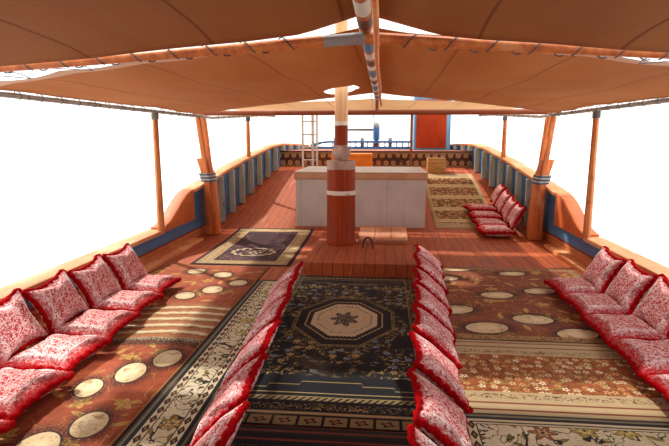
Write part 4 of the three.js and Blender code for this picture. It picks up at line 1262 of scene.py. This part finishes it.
def stone_rug(name, half_long, half_wide, ground, deep, stones, waves=None, rim=0.12):
    """Terracotta, with chains of cream ovals among dark speckled paths and gold flowers. A stone is its
    middle, half length, half width and turn; waves is where a band of wavy cream stripes crosses it."""
    rug = Rug(name, half_long, half_wide)
    veins = rug.noise(9.0, detail=5.0, rough=0.65, warp=0.6, spot=rug.flat)
    crack = abs(rug.noise(7.0, detail=3.0, warp=1.5, spot=rug.flat) - 0.5).ramp(0.008, 0.0)
    near = None
    for stone in stones:
        one = rug.oval(*stone)
        near = one if near is None else near.least(one)
    near = near + (veins - 0.5) * 0.12
    halo = (near + (rug.wear - 0.5) * 1.2).ramp(1.9, 1.25) * rug.speck.ramp(0.38, 0.5)
    field, there, _ = rug.blooms(0.42, 0.075, 5.0, 0.55, 0.7)
    stems = rug.curls(3.2, 0.008, shift=1.0)
    design = [
        (veins.ramp(0.35, 0.65), ground, deep),
        (crack * 0.6, "4e2416"),
        (stems * 0.8, "b48a45"),
        (rug.leaves(0.3, 0.085, 0.026, 0.65), "b8904c"),
        (field.ramp(1.05, 0.98) * there, "c0984f"),
        (field.ramp(0.8, 0.7) * there * rug.curls(30.0, 0.06), "7c5526"),
        (halo * 0.9, "2f1812"),
        (near.ramp(1.16, 1.12), "2a1610"),
        (near.ramp(1.06, 1.02), "cfba92"),
        (near.ramp(1.02, 0.98) * crack.most(veins.ramp(0.56, 0.62) * 0.7), "8a6238"),
        (near.ramp(0.6, 0.4) * 0.4, "e6d9b8"),
    ]
    if waves:
        low, high = waves
        ripple = rug.u + (rug.v * 4.0).sin() * 0.06 + (veins - 0.5) * 0.12
        stripe = ripple.every(0.17)
        inside = ripple.within(low, high, 0.01)
        design += [
            (inside, (stripe.ramp(0.42, 0.5), "b59f78", "a0673f")),
            (inside * stripe.within(0.5, 0.62, 0.03), "7a4a2e"),
            (inside * stripe.within(0.1, 0.3, 0.03), "d6c8a6"),
            (ripple.within(high - 0.1, high + 0.07, 0.02) * rug.speck.ramp(0.4, 0.5), "33201a"),
        ]
    return rug.woven(
        *design,
        (rug.edge.ramp(rim, rim - 0.005), "9c7a4e"),
        (rug.edge.within(0.02, rim - 0.02) * rug.curls(15.0, 0.05), "5a2f1e"),
        (rug.edge.ramp(0.014, 0.01), "3a1e14"),
    )


def scroll_rug(name, half_long, half_wide):
    """Cream, with black scrolls and olive-gold flowers inside a navy border."""
    rug = Rug(name, half_long, half_wide)
    field, there, lot = rug.blooms(0.3, 0.085, 6.0, 0.75, 0.6)
    scrolls = rug.curls(4.5, 0.03, warp=2.4)
    fine = rug.curls(15.0, 0.02, shift=3.0)
    lozenge = abs(rug.u.every(0.11) - 0.5) + abs((rug.edge - 0.095) / 0.05)
    chain = rug.edge.within(0.07, 0.118, 0.002)
    return rug.woven(
        (rug.wear.ramp(0.4, 0.6), "cabd9a", "ddd2b4"),
        (fine * 0.5, "93844f"),
        (rug.leaves(0.16, 0.055, 0.018, 0.8, 2.0), "7d7236"),
        (scrolls, "171719"),
        (field.ramp(1.08, 1.02) * there, "2c2a22"),
        (field.ramp(1.0, 0.94) * there, (lot.ramp(0.5, 0.6), "a08a3e", "8c5a3a")),
        (field.ramp(0.6, 0.5) * there * rug.curls(36.0, 0.08), "d8c88c"),
        (field.ramp(0.22, 0.18) * there, "4a3222"),
        (rug.edge.ramp(0.13, 0.127), "14161d"),
        (rug.edge.ramp(0.122, 0.12), "cfc09c"),
        (chain * lozenge.ramp(0.5, 0.44), "23232a"),
        (chain * lozenge.ramp(0.2, 0.14), "a8652e"),
        (rug.edge.ramp(0.068, 0.066), "14161e"),
        (rug.edge.within(0.028, 0.033) + rug.edge.within(0.018, 0.021), "a5966c"),
    )


def sprig_rug(name, half_long, half_wide, ground, deep, light, size, bands=0.0, rim="b59f78"):
    """Closely set small flowers, with stripes at both ends, and pale bands across it at that spacing."""
    rug = Rug(name, half_long, half_wide)
    field, there, lot = rug.blooms(size, size * 0.42, 5.0, 0.8)
    design = [
        (rug.noise(14.0, detail=3.0, spot=rug.flat).ramp(0.4, 0.6), ground, deep),
        (rug.curls(10.0, 0.02) * 0.7, "3a2418"),
        (rug.leaves(size * 0.8, size * 0.5, size * 0.13, 0.7, 3.0), "8f7a3e"),
        (field.ramp(1.12, 1.02) * there, "3b2016"),
        (field.ramp(1.0, 0.92) * there, (lot.ramp(0.3, 0.7), light, "c8935a")),
        (field.ramp(0.34, 0.28) * there, "6a3320"),
    ]
    if bands:
        place = rug.u.every(bands)
        design += [
            (place.within(0.7, 0.98, 0.01), "c4ad7e"),
            (place.within(0.78, 0.9, 0.01) * rug.curls(20.0, 0.05), "7a5a34"),
        ]
    return rug.woven(
        *design,
        (rug.end.ramp(0.3, 0.296), rim),
        (rug.end.within(0.2, 0.27) * rug.curls(22.0, 0.05), "6a4a30"),
        (rug.end.within(0.13, 0.15) + rug.end.within(0.04, 0.06), "7a3524"),
        (rug.side.ramp(0.08, 0.077) * 0.8, rim),
    )


def wine_rug(name, half_long, half_wide, ring_u, ring_v):
    """Wine purple, with beige lines round it and a cream ring of flowers."""
    rug = Rug(name, half_long, half_wide)
    a, b = rug.u - ring_u, rug.v - ring_v
    ring = rug.flower(a * 1.25, b, 0.36, 14.0, 0.06)
    field, there, _ = rug.blooms(0.1, 0.034, 6.0, 0.6)
    return rug.woven(
        (rug.wear.ramp(0.4, 0.6), "2f131f", "431c2b"),
        (rug.curls(5.0, 0.014) * ring.ramp(1.1, 1.3) * rug.edge.ramp(0.42, 0.4) * 0.7, "8d6f58"),
        (ring.within(0.86, 1.0, 0.01) * rug.speck.ramp(0.35, 0.45), "c9bd9c"),
        (ring.ramp(0.8, 0.78) * field.ramp(1.0, 0.9) * there, "bcae8c"),
        (ring.ramp(0.5, 0.4) * rug.curls(18.0, 0.03), "a08d6a"),
        (rug.edge.ramp(0.25, 0.247), "b39c70"),
        (rug.edge.within(0.1, 0.2) * rug.curls(17.0, 0.035), "6f4a38"),
        (rug.edge.within(0.205, 0.215) + rug.edge.within(0.08, 0.09), "4b2226"),
        (rug.edge.ramp(0.06, 0.057), "3a1620"),
    )


WOOL = 0.006
LIFT, RIPPLE = 0.0045, 0.004
MESH_STEP = 0.09


def lay(name, node, aft, fore, starboard, port, finish):
    bm = bmesh.new()
    along = max(8, int((fore - aft) / MESH_STEP))
    across = max(5, int((port - starboard) / MESH_STEP))
    bmesh.ops.create_grid(bm, x_segments=along, y_segments=across, size=0.5)
    uv = bm.loops.layers.uv.new("cloth")
    middle_x, middle_y = (aft + fore) / 2, (starboard + port) / 2
    for face in bm.faces:
        for loop in face.loops:
            spot = loop.vert.co
            loop[uv].uv = (spot.x * (fore - aft), spot.y * (port - starboard))
    for vertex in bm.verts:
        x = middle_x + vertex.co.x * (fore - aft)
        wander = 0.006 * noise.noise(Vector((x * 0.9, middle_y, 4.0)))
        y = middle_y + vertex.co.y * (port - starboard) + wander
        rise = RIPPLE * abs(noise.noise(Vector((x * 1.6, y * 2.2, middle_x))))
        vertex.co = Vector((x, y, deck_at(x)[3] + LIFT + rise))
    carpet = new_piece(name, bm, finish, smooth=180)
    thicken(carpet, WOOL)
    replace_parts(carpet, node)


def stones_at(middle_x, middle_y, places):
    """Ovals given by their places on the boat, as places on a carpet."""
    return [(x - middle_x, y - middle_y, long, wide, turn) for x, y, long, wide, turn in places]


lay("aisle_carpet", "carpet_aisle", -0.88, 2.60, -0.85, 0.6, medallion_rug(1.74, 0.725, -0.17))
plain_navy = sprig_rug("navy_sprig_wool", 2.04, 0.725, "10131a", "171c26", "9a8358", 0.12, rim="12151d")
lay("fore_aisle_carpet", "carpet_aisle", 2.62, 6.69, -0.85, 0.6, plain_navy)
runner = scroll_rug("starboard_scroll_wool", 1.96, 0.2065)
lay("starboard_runner", "carpet_starboard", -0.62, 3.3, -1.285, -0.872, runner)
port_side_stones = (
    (-1.40, 1.25, 0.11, 0.19, 0.3),
    (-0.44, 2.03, 0.10, 0.17, 0.2),
    (-0.24, 1.51, 0.11, 0.17, 0.1),
    (0.53, 1.69, 0.12, 0.18, 0.0),
    (0.89, 1.98, 0.12, 0.18, 0.3),
    (0.80, 1.2, 0.13, 0.19, 0.2),
    (-0.9, 1.0, 0.10, 0.17, 0.1),
    (0.3, 0.98, 0.12, 0.18, 0.3),
    (-1.2, 1.9, 0.09, 0.16, 0.2),
)
starboard_side_stones = (
    (2.98, -1.72, 0.17, 0.12, 0.2),
    (2.70, -1.55, 0.14, 0.10, 0.2),
    (2.25, -1.82, 0.13, 0.085, 0.3),
    (1.99, -1.64, 0.16, 0.10, 0.2),
    (1.72, -1.47, 0.15, 0.10, 0.1),
    (0.10, -1.95, 0.12, 0.10, 0.3),
    (-0.15, -1.72, 0.13, 0.11, 0.2),
    (-0.45, -1.5, 0.12, 0.10, 0.0),
    (-0.80, -1.8, 0.12, 0.11, 0.4),
    (-0.95, -2.2, 0.12, 0.11, 0.2),
)
starboard_stones = stone_rug(
    "starboard_stone_wool", 2.295, 0.74, "a85230", "8c4126",
    stones_at(1.005, -2.03, starboard_side_stones), (-0.6, 0.45), 0.03,
)
lay("starboard_stone_carpet", "carpet_starboard", -1.29, 3.3, -2.77, -1.29, starboard_stones)
fore_wine = wine_rug("fore_wine_wool", 1.685, 0.864, 0.0, 0.0)
lay("fore_starboard_carpet", "carpet_starboard", 3.32, 6.69, -2.6, -0.872, fore_wine)
wine = wine_rug("wine_medallion_wool", 1.28, 0.705, 0.45, 0.0)
lay("wine_carpet", "carpet_aft_starboard", -3.89, -1.33, -2.44, -1.03, wine)
port_stones = stone_rug(
    "port_stone_wool", 1.295, 1.04, "8f4a2c", "733a22", stones_at(-0.195, 1.73, port_side_stones)
)
lay("port_stone_carpet", "carpet_port", -1.49, 1.1, 0.69, 2.77, port_stones)
orange_sprig = sprig_rug("orange_sprig_wool", 0.615, 1.04, "a5582c", "85451f", "e2cfa4", 0.075)
lay("port_sprig_carpet", "carpet_port", 1.11, 2.34, 0.69, 2.77, orange_sprig)
lay("port_scroll_carpet", "carpet_port", 2.35, 6.69, 0.69, 2.6, scroll_rug("port_scroll_wool", 2.17, 0.955))
brown_sprig = sprig_rug("brown_sprig_wool", 1.865, 0.615, "7f4c2c", "5f3620", "c9ab7c", 0.1, 0.75)
lay("aft_port_carpet", "carpet_aft_port", -7.84, -4.11, 1.21, 2.44, brown_sprig)


# Cushions.
# Seat and back cushions of white cotton printed in red, stuffed hard, with a thick ruffled red plush trim
# sewn round the seam. The backs lean on the bulwarks and on each other down the aisle.
print_cloth = Finish("red_printed_cotton", Roughness=0.95, Specular_IOR_Level=0.15)
printed = print_cloth.node("ShaderNodeAttribute", {"attribute_name": "flat"}, output=1)
print_u, print_v, _ = print_cloth.split(printed)
print_spot = print_cloth.joined(print_u, print_v)
from_edge = (0.305 - abs(print_u)).least(0.27 - abs(print_v))
swirl = print_cloth.noise(14.0, detail=1.0, warp=2.0, spot=print_spot)
arabesque = abs(swirl - 0.5).ramp(0.05, 0.03)
leafing = abs(print_cloth.noise(34.0, detail=1.0, warp=1.3, spot=print_spot) - 0.5).ramp(0.05, 0.03)
dot_grid = {"Vector": print_spot, "Scale": 30.0, "Randomness": 0.3}
dots = print_cloth.node("ShaderNodeTexVoronoi", {"voronoi_dimensions": "2D"}, dot_grid)
square = abs(print_u).most(abs(print_v))
cotton_wear = print_cloth.noise(2.0, detail=4.0)
cotton_weave = print_cloth.noise(160.0, detail=2.0)
print_cloth.paint(
    (cotton_wear.ramp(0.35, 0.65), "e6d2d2", "f2eaea"),
    (square.ramp(0.165, 0.155) * 0.3, "c45a55"),
    (leafing * square.ramp(0.2, 0.15) * 0.95, "b01820"),
    (arabesque * 0.95, "b41c22"),
    (square.within(0.162, 0.168, 0.001) * 0.7, "a3141a"),
    (dots.ramp(0.26, 0.2) * from_edge.ramp(0.075, 0.06) * from_edge.ramp(0.025, 0.04), "6f7f96"),
    (((from_edge - (swirl - 0.5) * 0.12).ramp(0.1, 0.01)) * 0.9, "b40c14"),
    height=cotton_weave * 0.3 + cotton_wear * 0.4, depth=0.003, strength=0.4,
)
plush = Finish("red_plush", Roughness=1.0, Specular_IOR_Level=0.05)
plush_fold = plush.noise(95.0, detail=3.0, rough=0.7)
plush_wear = plush.noise(3.0, detail=3.0)
plush.paint(
    (plush_fold.ramp(0.3, 0.7), "720308", "c20a14"),
    (plush_wear.ramp(0.6, 0.75) * 0.2, "a5282a"),
    height=plush_fold, depth=0.008, strength=1.0,
)


SWELL_FRAMES = 20


def stuffed(length, width, thick, seed):
    """A stuffed cushion: its mesh with the flat cloth's places in "flat", and the line of its seam."""
    bm = bmesh.new()
    bmesh.ops.create_cube(bm, size=1.0, matrix=Matrix.Diagonal((length, width, thick * 0.5, 1.0)))
    upright = [e for e in bm.edges if abs(e.verts[0].co.z - e.verts[1].co.z) > 0.01]
    ease(bm, upright, 0.03, segments=3, clamp=False)
    rim = [e for e in bm.edges if e.is_manifold and e.calc_face_angle() > math.radians(60)]
    ease(bm, rim, thick * 0.2, clamp=False)
    mesh = bpy.data.meshes.new("cushion_form")
    bm.to_mesh(mesh)
    bm.free()
    form = bpy.data.objects.new("cushion_form", mesh)
    scene.collection.objects.link(form)
    remesh = form.modifiers.new("even_mesh", "REMESH")
    remesh.mode = "VOXEL"
    remesh.voxel_size = 0.0145
    even = evaluated(form)
    bpy.data.objects.remove(form)
    flat = even.attributes.new("flat", "FLOAT_VECTOR", "POINT")
    rest = [v.co.copy() for v in even.vertices]
    for item, place in zip(flat.data, rest):
        item.vector = place
    for vertex in even.vertices:
        u, v = vertex.co.x / (length / 2), vertex.co.y / (width / 2)
        crown = max(0.0, (1 - abs(u) ** 2.6) * (1 - abs(v) ** 2.6))
        pull = 0.02 * (1 - u * u) * v ** 4, 0.02 * (1 - v * v) * u ** 4
        vertex.co.z *= 1.0 + 0.9 * crown
        vertex.co.z += 0.004 * noise.noise(Vector((u * 2, v * 2, seed)))
        vertex.co.x -= math.copysign(pull[1], u)
        vertex.co.y -= math.copysign(pull[0], v)
    pillow = bpy.data.objects.new("cushion_cloth", even)
    scene.collection.objects.link(pillow)
    cloth = pillow.modifiers.new("stuffing", "CLOTH")
    cloth.settings.quality = 6
    cloth.settings.mass = 0.3
    cloth.settings.tension_stiffness = 12
    cloth.settings.compression_stiffness = 12
    cloth.settings.bending_stiffness = 0.4
    cloth.settings.use_pressure = True
    cloth.settings.uniform_pressure_force = 4.0
    cloth.settings.effector_weights.gravity = 0.0
    cloth.point_cache.frame_end = SWELL_FRAMES
    for step in range(1, SWELL_FRAMES + 1):
        scene.frame_set(step)
    swollen = evaluated(pillow)
    scene.frame_set(1)
    for vertex, goal in zip(even.vertices, swollen.vertices):
        move = goal.co - vertex.co
        vertex.co += move * min(1.0, 0.05 / max(move.length, 1e-6))
    bpy.data.meshes.remove(swollen)
    bpy.data.objects.remove(pillow)
    low, high = min(v.co.z for v in even.vertices), max(v.co.z for v in even.vertices)
    for vertex in even.vertices:
        vertex.co.z = (vertex.co.z - low) / (high - low) * thick
    near = kdtree.KDTree(len(rest))
    for i, place in enumerate(rest):
        near.insert(place, i)
    near.balance()
    corners = [(1, -1), (1, 1), (-1, 1), (-1, -1), (1, -1)]
    seam = []
    for (a, b), (c, d) in zip(corners, corners[1:]):
        for k in range(36):
            s = k / 36
            place = Vector(((a + (c - a) * s) * length / 2, (b + (d - b) * s) * width / 2, 0.0))
            seam.append(even.vertices[near.find(place)[1]].co.copy())
    for _ in range(3):
        seam = [(seam[k - 1] + seam[k] * 2 + seam[(k + 1) % len(seam)]) / 4 for k in range(len(seam))]
    return even, seam


TRIM_RADIUS, RUFFLE = 0.019, 0.008


def row_of(name, node, masters, places, seed):
    """Cushions as one piece and their trims as another. A place is the middle of the cushion's back face,
    the way its length runs, the way its thickness points, and its size along each."""
    dice = random.Random(seed)
    bm = bmesh.new()
    trims = []
    for middle, along, up, sizes in places:
        even, seam = dice.choice(masters)
        lean = Vector([dice.uniform(-0.05, 0.05) for _ in range(3)])
        z_way = (Vector(up).normalized() + lean * 0.6).normalized()
        x_way = (Vector(along).normalized() + lean).normalized()
        y_way = z_way.cross(x_way).normalized()
        x_way = y_way.cross(z_way)
        turn = Matrix((x_way, y_way, z_way)).transposed().to_4x4()
        size = Matrix.Diagonal((sizes[0], sizes[1], sizes[2] * dice.uniform(0.94, 1.0), 1.0))
        place = Matrix.Translation(middle) @ turn @ size
        if dice.random() < 0.5:
            place = place @ Matrix.Rotation(math.pi, 4, "Z")
        before = len(bm.verts)
        bm.from_mesh(even)
        bm.verts.ensure_lookup_table()
        bmesh.ops.transform(bm, matrix=place, verts=bm.verts[before:])
        ruffle = []
        phase = dice.uniform(0, 6)
        for k, spot in enumerate(seam):
            outward = Vector((spot.x, spot.y, 0)).normalized()
            wave = noise.noise(Vector((k * 0.45, phase, 0.0)))
            spot = spot + outward * (0.004 + 0.004 * wave)
            spot.z += 0.007 * math.sin(k * 1.1 + phase)
            swell = 1.0 + 0.35 * noise.noise(Vector((k * 0.8, 7.0, phase)))
            ruffle.append((*(place @ spot), swell))
        trims.append(ruffle)
    cushions = new_piece(name, bm, print_cloth, smooth=180)
    trim = tube(name + "_trim", trims, TRIM_RADIUS, plush, sides=8, closed=True)
    noise.seed_set(seed)
    for vertex in trim.data.vertices:
        vertex.co += noise.noise_vector(vertex.co * 42) * RUFFLE
    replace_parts(cushions, node)
    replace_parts(trim, node)


SEAT_SIZE = (0.63, 0.60, 0.15)
BACK_SIZE = (0.60, 0.49, 0.15)
seat_forms = [stuffed(*SEAT_SIZE, seed) for seed in (1.0, 5.0)]
back_forms = [stuffed(*BACK_SIZE, seed) for seed in (2.0, 8.0)]
PILE_TOP = 0.9105
PITCH = 0.62
for side, sign, aft, inner, step, least in (
    ("starboard", -1, -0.25, 2.10, 0.05, 1.88),
    ("port", 1, -0.57, 2.08, 0.018, 1.98),
):
    seats, backs = [], []
    for k in range(8):
        x = aft + PITCH * (k + 0.5)
        y = max(least, inner - k * step) + 0.30
        seats.append(((x, sign * y, PILE_TOP + 0.003), (1.0, 0.0, 0.04), (0, 0, 1), (1.07, 1.0, 1.15)))
        lean = Vector((0.0, sign * 0.24, 0.45)).normalized()
        face = Vector((0.0, -sign * lean.z, abs(lean.y)))
        backs.append(((x + 0.02, sign * 2.69, 1.17), (1, -sign * 0.12, 0), face, (1.07, 1.04, 1.1)))
    row_of("seat_cushions_" + side, "cushions_" + side, seat_forms, seats, 11 + sign)
    row_of("back_cushions_" + side, "cushions_" + side, back_forms, backs, 21 + sign)
for side, sign, aft, count, head, step, spread in (
    ("starboard", -1, -0.08, 8, 0.58, 0.035, 0.34),
    ("port", 1, -1.20, 10, 0.57, 0.041, 0.40),
):
    backs = []
    for k in range(count):
        x = aft + PITCH * (k + 0.5)
        lean = Vector((0.0, -sign * spread, 0.35)).normalized()
        face = Vector((0.0, sign * lean.z, -lean.y * sign))
        middle = Vector((x, sign * (head - k * step + spread / 2), PILE_TOP + 0.175))
        backs.append((middle, (1, 0, 0.05), face, (1.07, 1.0, 0.85)))
    row_of("aisle_cushions_" + side, "cushions_aisle_" + side, back_forms, backs, 31 + sign)
aft_seats, aft_backs = [], []
for k in range(4):
    x = -5.10 + k * 0.5
    slope = (deck_at(x + 0.3)[3] - deck_at(x - 0.3)[3]) / 0.6
    middle = (x, 2.18, deck_at(x)[3] + 0.022)
    aft_seats.append((middle, (1.0, 0.0, slope + 0.04), (0, 0, 1), (0.9, 1.05, 1.15)))
    x -= 0.33
    middle = (x, 2.66, deck_at(x)[3] + 0.255)
    lean = Vector((0.0, 0.22, 0.42)).normalized()
    face = Vector((0.0, -lean.z, lean.y))
    aft_backs.append((middle, (1, -0.1, slope * 0.5), face, (0.92, 1.0, 1.1)))
row_of("aft_port_seats", "cushions_aft_port", seat_forms, aft_seats, 41)
row_of("aft_port_backs", "cushions_aft_port", back_forms, aft_backs, 43)
